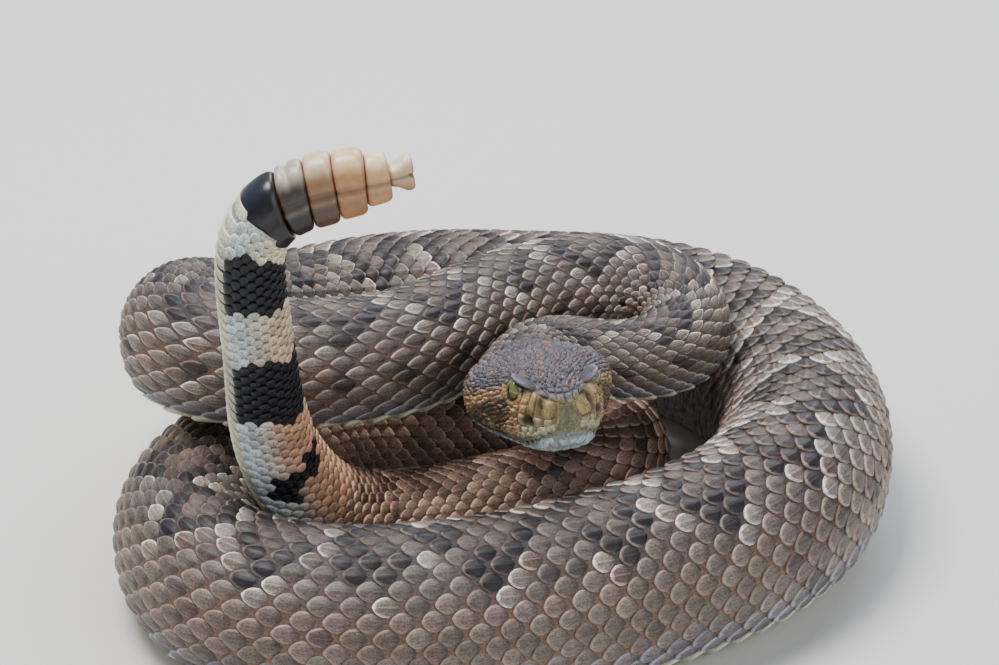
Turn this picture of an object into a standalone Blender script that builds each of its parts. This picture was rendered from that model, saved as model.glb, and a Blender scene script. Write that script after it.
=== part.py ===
# Western diamondback rattlesnake, coiled with its head up and its rattle raised: a still, life-size model.
# The whole animal is one swept tube along a hand-chosen route, cut into head, jaw, neck, body lengths,
# tail and rattle. Metres, +Z up, the floor at z = 0, and the viewer of the photo looks along +Y.
import math

import bpy
import numpy as np

MM = 0.001

# The route of the backbone's line, snout to rattle tip: x, y, z and the body's radius there, in mm.
# The centre of the whole coil's box is the origin, so the points are chosen round COIL_CENTRE.
COIL_CENTRE = (1.8, -47.3)
NECK_ROUTE = [
    (8.5, -62.3, 61.0, 11.6),
    (12.5, -55.8, 59.8, 11.4),
    (19.5, -52.0, 58.2, 11.3),
    (29.0, -50.5, 56.0, 11.4),
    (39.5, -47.0, 54.0, 11.9),
]
UPPER_LOOP = [
    (49.5, -38.5, 53.0, 13.0),
    (53.5, -25.5, 53.0, 14.2),
    (47.0, -14.0, 55.0, 15.3),
    (32.5, -10.0, 56.0, 16.2),
    (14.5, -15.8, 57.0, 16.8),
    (-6.5, -30.2, 57.5, 17.2),
    (-28.3, -51.5, 59.5, 17.6),
    (-53.6, -60.8, 61.0, 18.0),
    (-75.0, -59.0, 61.5, 18.4),
    (-88.5, -48.0, 59.8, 18.7),
    (-90.0, -24.5, 52.6, 19.0),
    (-79.5, 2.5, 35.8, 20.2),
]
FLOOR_LOOP = [
    (-56.0, 28.0, 25.0, 21.6),
    (-24.5, 38.4, 22.6, 22.9),
    (9.4, 36.0, 23.0, 23.6),
    (40.0, 29.8, 23.7, 24.3),
    (69.5, 10.5, 24.3, 24.9),
    (87.0, -27.0, 24.7, 25.3),
    (84.0, -67.3, 24.9, 25.5),
    (62.0, -97.8, 24.9, 25.5),
    (27.5, -118.5, 24.5, 25.1),
    (-8.0, -129.8, 24.0, 24.6),
    (-43.5, -131.5, 23.2, 23.8),
    (-71.5, -120.3, 22.3, 22.9),
    (-86.5, -95.5, 21.0, 21.6),
    (-85.0, -64.0, 19.8, 20.4),
]
INNER_LOOP = [
    (-70.0, -40.0, 18.9, 19.5),
    (-47.0, -23.5, 18.3, 18.9),
    (-20.5, -21.0, 17.9, 18.5),
    (3.0, -21.3, 17.5, 18.1),
    (19.0, -23.0, 17.1, 17.6),
    (28.8, -28.3, 16.8, 17.1),
    (33.6, -38.0, 16.5, 16.7),
    (30.8, -48.6, 16.2, 16.3),
    (22.0, -56.0, 15.8, 16.0),
    (8.0, -61.3, 15.2, 15.6),
    (-5.5, -65.8, 14.8, 15.2),
    (-30.0, -72.5, 15.5, 14.4),
]
RAISED_TAIL = [
    (-47.3, -79.0, 23.0, 13.4),
    (-58.0, -86.5, 40.0, 12.3),
    (-63.3, -94.5, 61.0, 11.2),
    (-64.8, -101.0, 83.0, 10.2),
    (-66.0, -105.3, 104.0, 9.8),
    (-66.4, -107.3, 118.0, 9.6),
    (-64.0, -107.5, 129.0, 9.5),
    (-56.5, -107.0, 136.6, 9.3),
    (-45.5, -105.8, 140.2, 9.2),
    (-33.0, -105.0, 142.6, 9.0),
    (-23.0, -103.0, 143.8, 8.0),
]

# The head: the snout's tip, which way it points, and its sections at distances behind the snout, in mm.
SNOUT = (18.6, -106.0, 68.8)
HEAD_YAW = math.radians(17.0)
HEAD_PITCH = math.radians(10.0)
HEAD_STRAIGHT = 38.0
HEAD_END = 42.0
JAW_END = 29.0
HEAD_AT = (0.0, 1.5, 4.0, 8.0, 12.0, 16.0, 21.0, 26.0, 31.0, 36.0, 41.0, 47.0)
HEAD_HALF_WIDTH = (7.0, 8.5, 10.3, 12.3, 14.2, 16.5, 19.6, 21.6, 20.4, 16.4, 13.0, 11.6)
HEAD_TOP = (5.6, 6.4, 7.8, 9.8, 11.0, 11.6, 11.7, 11.5, 11.2, 11.1, 11.2, 11.5)
HEAD_BOTTOM = (8.8, 9.6, 10.8, 11.8, 12.2, 12.1, 11.8, 11.5, 11.2, 11.1, 11.2, 11.5)
HEAD_SQUARENESS = (2.3, 2.3, 2.4, 2.5, 2.6, 2.6, 2.6, 2.5, 2.4, 2.2, 2.1, 2.0)
JAW_SQUARENESS = (2.8, 3.0, 3.2, 3.2, 3.2, 3.1, 3.0, 2.8, 2.6, 2.4, 2.3, 2.3)
MOUTH_AT = (0.0, 1.5, 4.0, 8.0, 14.0, 20.0, 26.0, 29.0)
MOUTH_HEIGHT = (-3.9, -4.6, -6.6, -8.0, -8.0, -7.2, -5.2, -4.4)
SNOUT_ROUNDING = 3.2
SNOUT_BLUNTNESS = 2.6

# Places on the head, in mm: behind the snout, to the side, and above the snout's centre.
EYE = (11.0, 9.7, 6.2)
EYE_RADIUS = 3.3
BROW = (11.8, 9.2, 9.7)
BROW_HALF_SIZE = (5.4, 3.7, 1.4)
BROW_ROLL = math.radians(14.0)
PIT = (5.8, 10.0, -0.8)
PIT_HALF_SIZE = (1.3, 1.6, 1.3)
NOSTRIL = (2.6, 7.2, 4.0)
NOSTRIL_HALF_SIZE = (0.8, 1.0, 1.3)

# The rattle: where it starts along the route, and its profile down each segment, in mm.
RATTLE_LENGTH = 38.0
RATTLE_GROOVES = (0.0, 8.6, 16.8, 24.6, 31.6, 38.0)
RATTLE_HALF_HEIGHT = (9.8, 10.2, 9.7, 7.6, 4.6)
RATTLE_HALF_THICKNESS = (6.6, 6.2, 5.8, 5.0, 3.4)
RATTLE_GROOVE_DEPTH = 0.3

# How the tube is cut and meshed, in mm. Neighbours stand NODE_GAP apart.
NODE_GAP = 0.3
STATION_STEP = 9.0
RATTLE_STATION_STEP = 1.4
RING_POINTS = 22
HEAD_UPPER_POINTS = 27
HEAD_LOWER_POINTS = 13
BELLY_SQUARENESS = 2.6
BELLY_DEPTH = 1.02
INNER_BEND_LIMIT = 0.9
CUTS = (76.0, 122.0, 180.0, 240.0, 296.0, 362.0, 434.0, 508.0, 582.0, 656.0, 730.0, 800.0, 866.0,
        946.0, 1000.0, 1058.0, 1118.0)

HIDE = (0.33, 0.27, 0.21)
CROWN = (0.36, 0.31, 0.29)
LIP = (0.62, 0.66, 0.62)
IRIS = (0.36, 0.37, 0.16)
BLACK_BAND = (0.03, 0.027, 0.025)
HORN = (0.55, 0.44, 0.31)


def clear_scene():
    for thing in list(bpy.data.objects):
        bpy.data.objects.remove(thing, do_unlink=True)


def smooth_curve(points, steps):
    """A natural cubic curve through the points, with steps samples between neighbours."""
    points = np.array(points, float)
    gaps = np.sqrt(np.linalg.norm(np.diff(points[:, :3], axis=0), axis=1))
    knots = np.concatenate([[0.0], np.cumsum(gaps)])
    count = len(points)
    system = np.eye(count)
    wanted = np.zeros_like(points)
    for i in range(1, count - 1):
        before, after = gaps[i - 1], gaps[i]
        system[i, i - 1:i + 2] = before, 2.0 * (before + after), after
        rise = (points[i + 1] - points[i]) / after - (points[i] - points[i - 1]) / before
        wanted[i] = 6.0 * rise
    bends = np.linalg.solve(system, wanted)
    samples = []
    for i in range(count - 1):
        for t in np.linspace(0.0, gaps[i], steps, endpoint=False):
            u = gaps[i] - t
            cubic = (bends[i] * u ** 3 + bends[i + 1] * t ** 3) / (6.0 * gaps[i])
            start = (points[i] / gaps[i] - bends[i] * gaps[i] / 6.0) * u
            end = (points[i + 1] / gaps[i] - bends[i + 1] * gaps[i] / 6.0) * t
            samples.append(cubic + start + end)
    samples.append(points[-1])
    return np.array(samples)


def unit(rows):
    return rows / np.linalg.norm(rows, axis=-1, keepdims=True)


def head_axes():
    """The head's forward, side and up directions."""
    forward = np.array([math.sin(HEAD_YAW) * math.cos(HEAD_PITCH),
                        -math.cos(HEAD_YAW) * math.cos(HEAD_PITCH),
                        math.sin(HEAD_PITCH)])
    side = np.array([math.cos(HEAD_YAW), math.sin(HEAD_YAW), 0.0])
    return forward, side, np.cross(forward, side)


class Route:
    """The line down the middle of the snake, by distance from the snout, with its side and top."""

    def __init__(self):
        forward = head_axes()[0]
        axis = [tuple(np.array(SNOUT) - forward * d) + (10.0,) for d in (0.0, HEAD_STRAIGHT / 2, HEAD_STRAIGHT)]
        points = axis + NECK_ROUTE + UPPER_LOOP + FLOOR_LOOP + INNER_LOOP + RAISED_TAIL
        curve = smooth_curve(points, 24)
        curve[:, 0] -= COIL_CENTRE[0]
        curve[:, 1] -= COIL_CENTRE[1]
        steps = np.linalg.norm(np.diff(curve[:, :3], axis=0), axis=1)
        along = np.concatenate([[0.0], np.cumsum(steps)])
        self.length = along[-1]
        self.at = np.linspace(0.0, self.length, 2400)
        self.place = np.stack([np.interp(self.at, along, curve[:, k]) for k in range(3)], -1)
        self.radius = np.interp(self.at, along, curve[:, 3])
        self.tangent = unit(np.gradient(self.place, self.at, axis=0))
        bend = np.gradient(self.tangent, self.at, axis=0)
        window = np.ones(25) / 25.0
        self.bend = np.stack([np.convolve(bend[:, k], window, mode="same") for k in range(3)], -1)
        self.top = self.back_directions()

    def back_directions(self):
        """The back faces up along the coil, and turns with the tail as it rises and curls over."""
        t = self.tangent
        rising = np.stack([t[:, 2], np.zeros(len(t)), -t[:, 0]], -1)
        upright = np.tile([0.0, 0.0, 1.0], (len(t), 1))
        share = np.clip((self.at - (self.length - 260.0)) / 60.0, 0.0, 1.0)[:, None]
        top = upright * (1.0 - share) + rising * share
        return unit(top - t * np.sum(top * t, axis=1, keepdims=True))

    def frame(self, s):
        """Centre, side, top and bend at a distance along the route."""
        def pick(values):
            return np.array([np.interp(s, self.at, values[:, k]) for k in range(3)])
        tangent = unit(pick(self.tangent))
        top = pick(self.top)
        top = unit(top - tangent * np.dot(top, tangent))
        return pick(self.place), np.cross(top, tangent), top, pick(self.bend)


def rounded(angle, half_width, top, bottom, upper_power, lower_power):
    """A point of a section, at an angle from the back towards the side: sideways and upward offsets."""
    power = upper_power if math.cos(angle) >= 0.0 else lower_power
    height = top if math.cos(angle) >= 0.0 else bottom
    x = half_width * math.copysign(abs(math.sin(angle)) ** (2.0 / power), math.sin(angle))
    z = height * math.copysign(abs(math.cos(angle)) ** (2.0 / power), math.cos(angle))
    return x, z


def snout_share(s):
    """How much of its full size the section has just behind the blunt snout."""
    if s >= SNOUT_ROUNDING:
        return 1.0
    return (1.0 - (1.0 - s / SNOUT_ROUNDING) ** SNOUT_BLUNTNESS) ** (1.0 / SNOUT_BLUNTNESS)


def section(route, s):
    """Half width, top, bottom and the two powers of the section at s."""
    radius = np.interp(s, route.at, route.radius)
    if s < HEAD_AT[-1]:
        share = snout_share(s)
        sizes = [share * np.interp(s, HEAD_AT, row) for row in (HEAD_HALF_WIDTH, HEAD_TOP, HEAD_BOTTOM)]
        power = np.interp(s, HEAD_AT, HEAD_SQUARENESS)
        return sizes[0], sizes[1], sizes[2], power, np.interp(s, HEAD_AT, JAW_SQUARENESS)
    rattle = s - (route.length - RATTLE_LENGTH)
    if rattle >= 0.0:
        height = rattle_profile(rattle, RATTLE_HALF_HEIGHT)
        thickness = rattle_profile(rattle, RATTLE_HALF_THICKNESS)
        return thickness, height, height, 2.2, 2.2
    return radius, radius, radius * BELLY_DEPTH, 2.0, BELLY_SQUARENESS


def rattle_profile(distance, sizes):
    """The rattle's half size: each segment swells from its groove, and the last ends rounded."""
    grooves = RATTLE_GROOVES
    index = min(max(int(np.searchsorted(grooves, distance, side="right")) - 1, 0), len(sizes) - 1)
    share = (distance - grooves[index]) / (grooves[index + 1] - grooves[index])
    share = min(max(share, 0.0), 1.0)
    swell = math.sin(math.pi * share) ** 0.35 if 0.0 < share < 1.0 else 0.0
    return sizes[index] * (1.0 - RATTLE_GROOVE_DEPTH * (1.0 - swell))


def surface_point(route, s, x, z):
    """A point of the skin from its offsets, squeezed on the inside of a bend and flat on the floor."""
    place, side, top, bend = route.frame(s)
    offset = side * x + top * z
    tightness = np.linalg.norm(bend)
    if tightness > 1e-6:
        inward = bend / tightness
        reach = float(np.dot(offset, inward))
        limit = INNER_BEND_LIMIT / tightness
        start = 0.7 * limit
        if reach > start:
            kept = start + (limit - start) * (1.0 - math.exp(-(reach - start) / (limit - start)))
            offset = offset - inward * (reach - kept)
    point = place + offset
    point[2] = max(point[2], 0.0)
    return point


def ring(route, s, angles):
    sizes = section(route, s)
    return [surface_point(route, s, *rounded(a, *sizes)) for a in angles]


def mouth_angle(route, s, lower):
    """The angle from the back at which the mouth line crosses the section, lowered by some mm."""
    _, _, bottom, _, power = section(route, s)
    drop = (lower - np.interp(s, MOUTH_AT, MOUTH_HEIGHT) * snout_share(s)) / bottom
    return math.pi - math.acos(min(drop, 0.98) ** (power / 2.0))


def across(first, last, count):
    """Points along the straight line between two points, without its ends."""
    return [first + (last - first) * k / (count + 1) for k in range(1, count + 1)]


def upper_ring(route, s):
    """The skull's section ahead of the jaw's end: over the top from lip to lip, and back under the palate."""
    turn = mouth_angle(route, s, 0.0)
    over = ring(route, s, np.linspace(-turn, turn, HEAD_UPPER_POINTS))
    return over + across(over[-1], over[0], HEAD_LOWER_POINTS)


def whole_ring(route, s):
    """The skull's section behind the jaw's end, with as many points as upper_ring."""
    turn = mouth_angle(route, min(s, JAW_END), 0.0)
    over = ring(route, s, np.linspace(-turn, turn, HEAD_UPPER_POINTS))
    return over + ring(route, s, np.linspace(turn, 2.0 * math.pi - turn, HEAD_LOWER_POINTS + 2)[1:-1])


def jaw_ring(route, s):
    turn = mouth_angle(route, s, NODE_GAP)
    under = ring(route, s, np.linspace(turn, 2.0 * math.pi - turn, HEAD_LOWER_POINTS + 4))
    return under + across(under[-1], under[0], HEAD_LOWER_POINTS)


def material(name, colour, roughness):
    made = bpy.data.materials.new(name)
    made.use_nodes = True
    shader = made.node_tree.nodes["Principled BSDF"]
    shader.inputs["Base Color"].default_value = (*colour, 1.0)
    shader.inputs["Roughness"].default_value = roughness
    shader.inputs["Metallic"].default_value = 0.0
    return made


def add_object(name, points, faces, finish):
    mesh = bpy.data.meshes.new(name)
    mesh.from_pydata([tuple(p * MM) for p in points], [], faces)
    mesh.validate()
    mesh.shade_smooth()
    mesh.set_sharp_from_angle(angle=math.radians(50.0))
    made = bpy.data.objects.new(name, mesh)
    made.data.materials.append(finish)
    bpy.context.scene.collection.objects.link(made)
    return made


def add_loft(name, rings, finish):
    """A closed solid through rings of equal count, with a fan over each end."""
    count = len(rings[0])
    points = [p for one in rings for p in one]
    faces = []
    for i in range(len(rings) - 1):
        for k in range(count):
            a, b = i * count + k, i * count + (k + 1) % count
            faces.append((a, a + count, b + count, b))
    first, last = len(points), len(points) + 1
    points += [np.mean(rings[0], axis=0), np.mean(rings[-1], axis=0)]
    base = (len(rings) - 1) * count
    for k in range(count):
        n = (k + 1) % count
        faces.append((first, k, n))
        faces.append((last, base + n, base + k))
    return add_object(name, points, faces, finish)


def tube_length(route, name, start, end, finish, step=STATION_STEP):
    count = max(2, int(round((end - start) / step)) + 1)
    angles = np.linspace(0.0, 2.0 * math.pi, RING_POINTS, endpoint=False)
    return add_loft(name, [ring(route, s, angles) for s in np.linspace(start, end, count)], finish)


def head_point(at):
    """World place in mm of a point given behind the snout, to the side and above the snout's centre."""
    forward, side, up = head_axes()
    centre = np.array(SNOUT) - np.array([COIL_CENTRE[0], COIL_CENTRE[1], 0.0])
    return centre - forward * at[0] + side * at[1] + up * at[2]


def head_ball(name, at, half_size, roll, finish, segments=20, rings=10):
    """An ellipsoid set in the head's own directions."""
    forward, side, up = head_axes()
    turned_side = side * math.cos(roll) + up * math.sin(roll)
    turned_up = up * math.cos(roll) - side * math.sin(roll)
    centre = head_point(at)
    points = [centre + turned_up * half_size[2]]
    for i in range(1, rings):
        tilt = math.pi * i / rings
        for k in range(segments):
            turn = 2.0 * math.pi * k / segments
            flat = math.sin(tilt)
            points.append(centre + forward * half_size[0] * flat * math.cos(turn)
                          + turned_side * half_size[1] * flat * math.sin(turn)
                          + turned_up * half_size[2] * math.cos(tilt))
    points.append(centre - turned_up * half_size[2])
    faces = []
    for k in range(segments):
        n = (k + 1) % segments
        faces.append((0, 1 + k, 1 + n))
        faces.append((len(points) - 1, 1 + (rings - 2) * segments + n, 1 + (rings - 2) * segments + k))
        for i in range(rings - 2):
            a, b = 1 + i * segments + k, 1 + i * segments + n
            faces.append((a, a + segments, b + segments, b))
    return add_object(name, points, faces, finish)


def hide_as_cutter(things, group_name):
    group = bpy.data.collections.new(group_name)
    bpy.context.scene.collection.children.link(group)
    for thing in things:
        bpy.context.scene.collection.objects.unlink(thing)
        group.objects.link(thing)
        thing.hide_render = True
        thing.display_type = "WIRE"
    return group


def combine(target, group, operation):
    modifier = target.modifiers.new(operation.lower(), "BOOLEAN")
    modifier.operation = operation
    modifier.operand_type = "COLLECTION"
    modifier.collection = group
    modifier.solver = "EXACT"


def mirrored(at, sign):
    return at[0], at[1] * sign, at[2]


def build_head(route, crown, lip, iris):
    front = [0.15, 0.5, 1.0, 1.8, 2.8, 4.0]
    middle = list(np.arange(5.5, JAW_END, 1.8))
    rear = list(np.linspace(JAW_END, HEAD_END - NODE_GAP / 2.0, 8))
    rings = [upper_ring(route, s) for s in front + middle + [JAW_END]]
    rings += [whole_ring(route, s) for s in rear]
    skull = add_loft("head", rings, crown)
    jaw_stations = [s for s in front[1:] + middle if s < JAW_END - 1.0] + [JAW_END - NODE_GAP]
    add_loft("lower_jaw", [jaw_ring(route, s) for s in jaw_stations], lip)
    brows, hollows = [], []
    for side_name, sign in (("left", 1.0), ("right", -1.0)):
        roll = -BROW_ROLL * sign
        brows.append(head_ball("brow_form_" + side_name, mirrored(BROW, sign), BROW_HALF_SIZE, roll, crown))
        socket = (EYE_RADIUS + NODE_GAP,) * 3
        hollows.append(head_ball("socket_" + side_name, mirrored(EYE, sign), socket, 0.0, crown))
        hollows.append(head_ball("pit_" + side_name, mirrored(PIT, sign), PIT_HALF_SIZE, 0.0, crown, 12, 6))
        hollows.append(head_ball("nostril_" + side_name, mirrored(NOSTRIL, sign), NOSTRIL_HALF_SIZE, 0.0,
                                 crown, 12, 6))
        head_ball("eye_" + side_name, mirrored(EYE, sign), (EYE_RADIUS,) * 3, 0.0, iris)
    combine(skull, hide_as_cutter(brows, "brow_forms"), "UNION")
    combine(skull, hide_as_cutter(hollows, "head_hollows"), "DIFFERENCE")


def build_body(route, hide, black):
    """The neck, the body lengths and the tail, each an own node between two cuts."""
    edges = (HEAD_END,) + CUTS + (route.length - RATTLE_LENGTH,)
    names = ["neck"] + ["body_%02d" % n for n in range(1, len(edges) - 3)] + ["tail_base", "tail_tip"]
    for name, start, end in zip(names, edges[:-1], edges[1:]):
        finish = black if name == "tail_tip" else hide
        tube_length(route, name, start + NODE_GAP / 2.0, end - NODE_GAP / 2.0, finish)


def build_rattle(route, horn):
    start = route.length - RATTLE_LENGTH + NODE_GAP / 2.0
    tube_length(route, "rattle", start, route.length - 0.4, horn, RATTLE_STATION_STEP)


def main():
    clear_scene()
    route = Route()
    hide = material("snake_hide", HIDE, 0.62)
    crown = material("crown_scales", CROWN, 0.62)
    lip = material("lip_scales", LIP, 0.5)
    iris = material("iris", IRIS, 0.1)
    black = material("black_tail_scales", BLACK_BAND, 0.55)
    horn = material("rattle_horn", HORN, 0.4)
    build_head(route, crown, lip, iris)
    build_body(route, hide, black)
    build_rattle(route, horn)


main()
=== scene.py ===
# The looks of the western diamondback rattlesnake: one skin over the whole animal, keeled scales in rows
# along it, belly scutes, head plates, eyes and rattle, on a pale studio floor.
import math

import bpy
import numpy as np
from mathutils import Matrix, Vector
from mathutils.bvhtree import BVHTree


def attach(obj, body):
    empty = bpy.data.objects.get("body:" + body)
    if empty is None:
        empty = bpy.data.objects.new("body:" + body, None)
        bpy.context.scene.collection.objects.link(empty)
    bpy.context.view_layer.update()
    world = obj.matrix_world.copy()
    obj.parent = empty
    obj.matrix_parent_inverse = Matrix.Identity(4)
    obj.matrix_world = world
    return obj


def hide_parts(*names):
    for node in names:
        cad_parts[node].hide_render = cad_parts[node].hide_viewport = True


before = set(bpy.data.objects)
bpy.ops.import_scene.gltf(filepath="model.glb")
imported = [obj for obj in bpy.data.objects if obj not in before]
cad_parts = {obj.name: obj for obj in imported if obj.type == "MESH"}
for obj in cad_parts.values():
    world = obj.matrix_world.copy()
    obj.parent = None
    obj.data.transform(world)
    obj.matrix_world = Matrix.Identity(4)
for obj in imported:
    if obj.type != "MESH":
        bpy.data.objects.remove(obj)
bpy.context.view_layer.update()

MM = 0.001

# The route of the backbone's line, as in part.py: x, y, z and the body's radius there, in mm.
COIL_CENTRE = (1.8, -47.3)
NECK_ROUTE = [
    (8.5, -62.3, 61.0, 11.6), (12.5, -55.8, 59.8, 11.4), (19.5, -52.0, 58.2, 11.3),
    (29.0, -50.5, 56.0, 11.4), (39.5, -47.0, 54.0, 11.9),
]
UPPER_LOOP = [
    (49.5, -38.5, 53.0, 13.0), (53.5, -25.5, 53.0, 14.2), (47.0, -14.0, 55.0, 15.3),
    (32.5, -10.0, 56.0, 16.2), (14.5, -15.8, 57.0, 16.8), (-6.5, -30.2, 57.5, 17.2),
    (-28.3, -51.5, 59.5, 17.6), (-53.6, -60.8, 61.0, 18.0), (-75.0, -59.0, 61.5, 18.4),
    (-88.5, -48.0, 59.8, 18.7), (-90.0, -24.5, 52.6, 19.0), (-79.5, 2.5, 35.8, 20.2),
]
FLOOR_LOOP = [
    (-56.0, 28.0, 25.0, 21.6), (-24.5, 38.4, 22.6, 22.9), (9.4, 36.0, 23.0, 23.6),
    (40.0, 29.8, 23.7, 24.3), (69.5, 10.5, 24.3, 24.9), (87.0, -27.0, 24.7, 25.3),
    (84.0, -67.3, 24.9, 25.5), (62.0, -97.8, 24.9, 25.5), (27.5, -118.5, 24.5, 25.1),
    (-8.0, -129.8, 24.0, 24.6), (-43.5, -131.5, 23.2, 23.8), (-71.5, -120.3, 22.3, 22.9),
    (-86.5, -95.5, 21.0, 21.6), (-85.0, -64.0, 19.8, 20.4),
]
INNER_LOOP = [
    (-70.0, -40.0, 18.9, 19.5), (-47.0, -23.5, 18.3, 18.9), (-20.5, -21.0, 17.9, 18.5),
    (3.0, -21.3, 17.5, 18.1), (19.0, -23.0, 17.1, 17.6), (28.8, -28.3, 16.8, 17.1),
    (33.6, -38.0, 16.5, 16.7), (30.8, -48.6, 16.2, 16.3), (22.0, -56.0, 15.8, 16.0),
    (8.0, -61.3, 15.2, 15.6), (-5.5, -65.8, 14.8, 15.2), (-30.0, -72.5, 15.5, 14.4),
]
RAISED_TAIL = [
    (-47.3, -79.0, 23.0, 13.4), (-58.0, -86.5, 40.0, 12.3), (-63.3, -94.5, 61.0, 11.2),
    (-64.8, -101.0, 83.0, 10.2), (-66.0, -105.3, 104.0, 9.8), (-66.4, -107.3, 118.0, 9.6),
    (-64.0, -107.5, 129.0, 9.5), (-56.5, -107.0, 136.6, 9.3), (-45.5, -105.8, 140.2, 9.2),
    (-33.0, -105.0, 142.6, 9.0), (-23.0, -103.0, 143.8, 8.0),
]

# The head, as in part.py, in mm.
SNOUT = (18.6, -106.0, 68.8)
HEAD_YAW = math.radians(17.0)
HEAD_PITCH = math.radians(10.0)
HEAD_STRAIGHT = 38.0
HEAD_RADIUS = 10.0
HEAD_END = 46.0
HEAD_FADE = (34.0, 44.0)
JAW_END = 29.0
HEAD_AT = (0.0, 1.5, 4.0, 8.0, 12.0, 16.0, 21.0, 26.0, 31.0, 36.0, 41.0, 47.0)
HEAD_HALF_WIDTH = (7.0, 8.5, 10.3, 12.3, 14.2, 16.5, 19.6, 21.6, 20.4, 16.4, 13.0, 11.6)
HEAD_TOP = (5.6, 6.4, 7.8, 9.8, 11.0, 11.6, 11.7, 11.5, 11.2, 11.1, 11.2, 11.5)
HEAD_BOTTOM = (8.8, 9.6, 10.8, 11.8, 12.2, 12.1, 11.8, 11.5, 11.2, 11.1, 11.2, 11.5)
HEAD_SQUARENESS = (2.3, 2.3, 2.4, 2.5, 2.6, 2.6, 2.6, 2.5, 2.4, 2.2, 2.1, 2.0)
JAW_SQUARENESS = (2.8, 3.0, 3.2, 3.2, 3.2, 3.1, 3.0, 2.8, 2.6, 2.4, 2.3, 2.3)
MOUTH_AT = (0.0, 1.5, 4.0, 8.0, 14.0, 20.0, 26.0, 29.0)
MOUTH_HEIGHT = (-3.9, -4.6, -6.6, -8.0, -8.0, -7.2, -5.2, -4.4)
SNOUT_ROUNDING = 3.2
SNOUT_BLUNTNESS = 2.6
EYE = (12.0, 10.5, 6.5)
EYE_RADIUS = 3.0
LID_REACH = 3.5
BROW_AT = (9.4, 8.9)
BROW_YAW = math.radians(47.0)
BROW_SIZE = (7.6, 5.0, 0.45)
# A corner of the brow plate on the crown, and its rise to the rear, outward, and by side.
BROW_CORNER = (6.5, 6.6, 7.7)
BROW_RISE = (0.2, 0.34, 0.1)
PIT = (5.0, 9.9, -0.7)
NOSTRIL = (2.8, 6.8, 4.3)
# Swellings and hollows of the head: place, reach behind, aside and above it, and height.
HEAD_FORMS = (
    ((EYE[0], EYE[1] + 2.4, EYE[2]), (3.1, 3.4, 3.1), -2.0), (PIT, (1.3, 3.0, 1.4), -3.6),
    (NOSTRIL, (0.7, 1.8, 2.4), -1.5), ((11.0, 9.6, 9.4), (6.0, 3.0, 2.4), 1.1),
    ((4.5, 7.2, 6.8), (4.5, 2.2, 1.8), 0.5), ((22.0, 17.5, 2.0), (9.0, 6.0, 6.0), 0.5),
    ((16.0, 15.5, -2.0), (5.0, 5.0, 3.0), -0.5),
)
# The mouth's groove and the two lips: height, distance below the mouth line, and width.
MOUTH_FORMS = ((-1.0, 0.0, 0.55), (0.3, -1.3, 0.9), (0.2, 1.5, 1.0))

# The rattle, as in part.py, and the black matrix that its first segment grows from.
RATTLE_LENGTH = 38.0
MATRIX_LENGTH = 6.6
RATTLE_GROOVES = (-6.6, 2.1, 9.6, 17.3, 25.3, 31.6, 38.0)
RATTLE_TILT = (1.8, 2.1, 1.0, 0.5, 0.7, 0.0, 0.0)
RATTLE_HALF_HEIGHT = (9.4, 9.8, 10.2, 9.7, 7.6, 4.6)
RATTLE_HALF_THICKNESS = (7.9, 6.8, 6.4, 5.9, 5.0, 3.4)
RATTLE_SQUARENESS = 2.6
RATTLE_PARTING = -0.04
RATTLE_PARTING_DEPTH = (0.06, 0.16, 0.18, 0.18, 0.2, 0.3)

# The raised tail's back turns from this far before the route's end, over this length.
TAIL_TURN_START = 260.0
TAIL_TURN_LENGTH = 60.0

# The body's lower half, and how near the skin comes to the centre of a tight bend.
BELLY_SQUARENESS = 2.6
BELLY_DEPTH = 1.02
INNER_BEND_LIMIT = 0.9

# The coat, in mm: how deep the skin lies under the solids' surface, the lowest place over the floor, how far
# plates sink into the skin and draw in from their corners, how much earlier the coat ends on the back, the
# rows of scales, the belly's edge, and the scales' pitch along the route.
COAT_DEPTH = 0.8
LOWEST = 0.05
PLATE_SINK = 0.4
PLATE_INSET = 0.96
COAT_SLANT = 1.7
SCALE_ROWS = 25
TAIL_ROWS = 19
BELLY_EDGE = math.radians(130.0)
COAT_START = 33.0
TAIL_COAT_START = 1066.0
COAT_PIECES = 11
PITCH_AT = (33.0, 60.0, 140.0, 220.0, 320.0, 400.0, 560.0, 640.0, 800.0, 850.0, 900.0, 1000.0, 1066.0,
            1110.0, 1150.0, 1200.0)
PITCH = (2.3, 4.4, 6.2, 7.0, 6.7, 5.9, 6.2, 7.1, 7.3, 6.2, 5.3, 5.0, 4.4, 3.6, 3.2, 3.0)

# The markings: the tail's black bands, its black patches with their angle in degrees and reach each way, the
# number of diamonds passed along the route, their reach down the back, and the angle of the flank spots.
TAIL_BANDS = ((1134.5, 1156.0), (1173.5, 1189.5), (1199.5, 1215.0))
TAIL_PATCHES = ((1108.5, 91.0, 6.0, 17.0), (1111.5, 64.0, 3.0, 10.0), (1113.5, 40.0, 5.5, 14.0),
                (1117.0, 10.0, 3.5, 10.0))
BLOTCH_AT = (0.0, 207.0, 236.0, 643.0, 673.0, 706.0, 1090.0)
BLOTCH_COUNT = (-6.6, 0.5, 1.5, 14.5, 15.5, 16.5, 30.0)
BLOTCH_REACH = math.radians(50.0)
FLANK_SPOTS_AT = math.radians(80.0)

# Stretches of the route, from the snout, where a look begins, is full, fades and ends.
FRONT_RUN = (590.0, 650.0, 840.0, 900.0)
FRONT_SKIN_RUN = (590.0, 660.0, 840.0, 900.0)
INNER_RUN = (812.0, 865.0, 1085.0, 1105.0)
PLAIN_FROM = (560.0, 640.0)
KITE_FROM = (330.0, 420.0)
TAIL_FROM = (1086.0, 1092.0)

RANDOM = np.random.default_rng(20)


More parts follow.
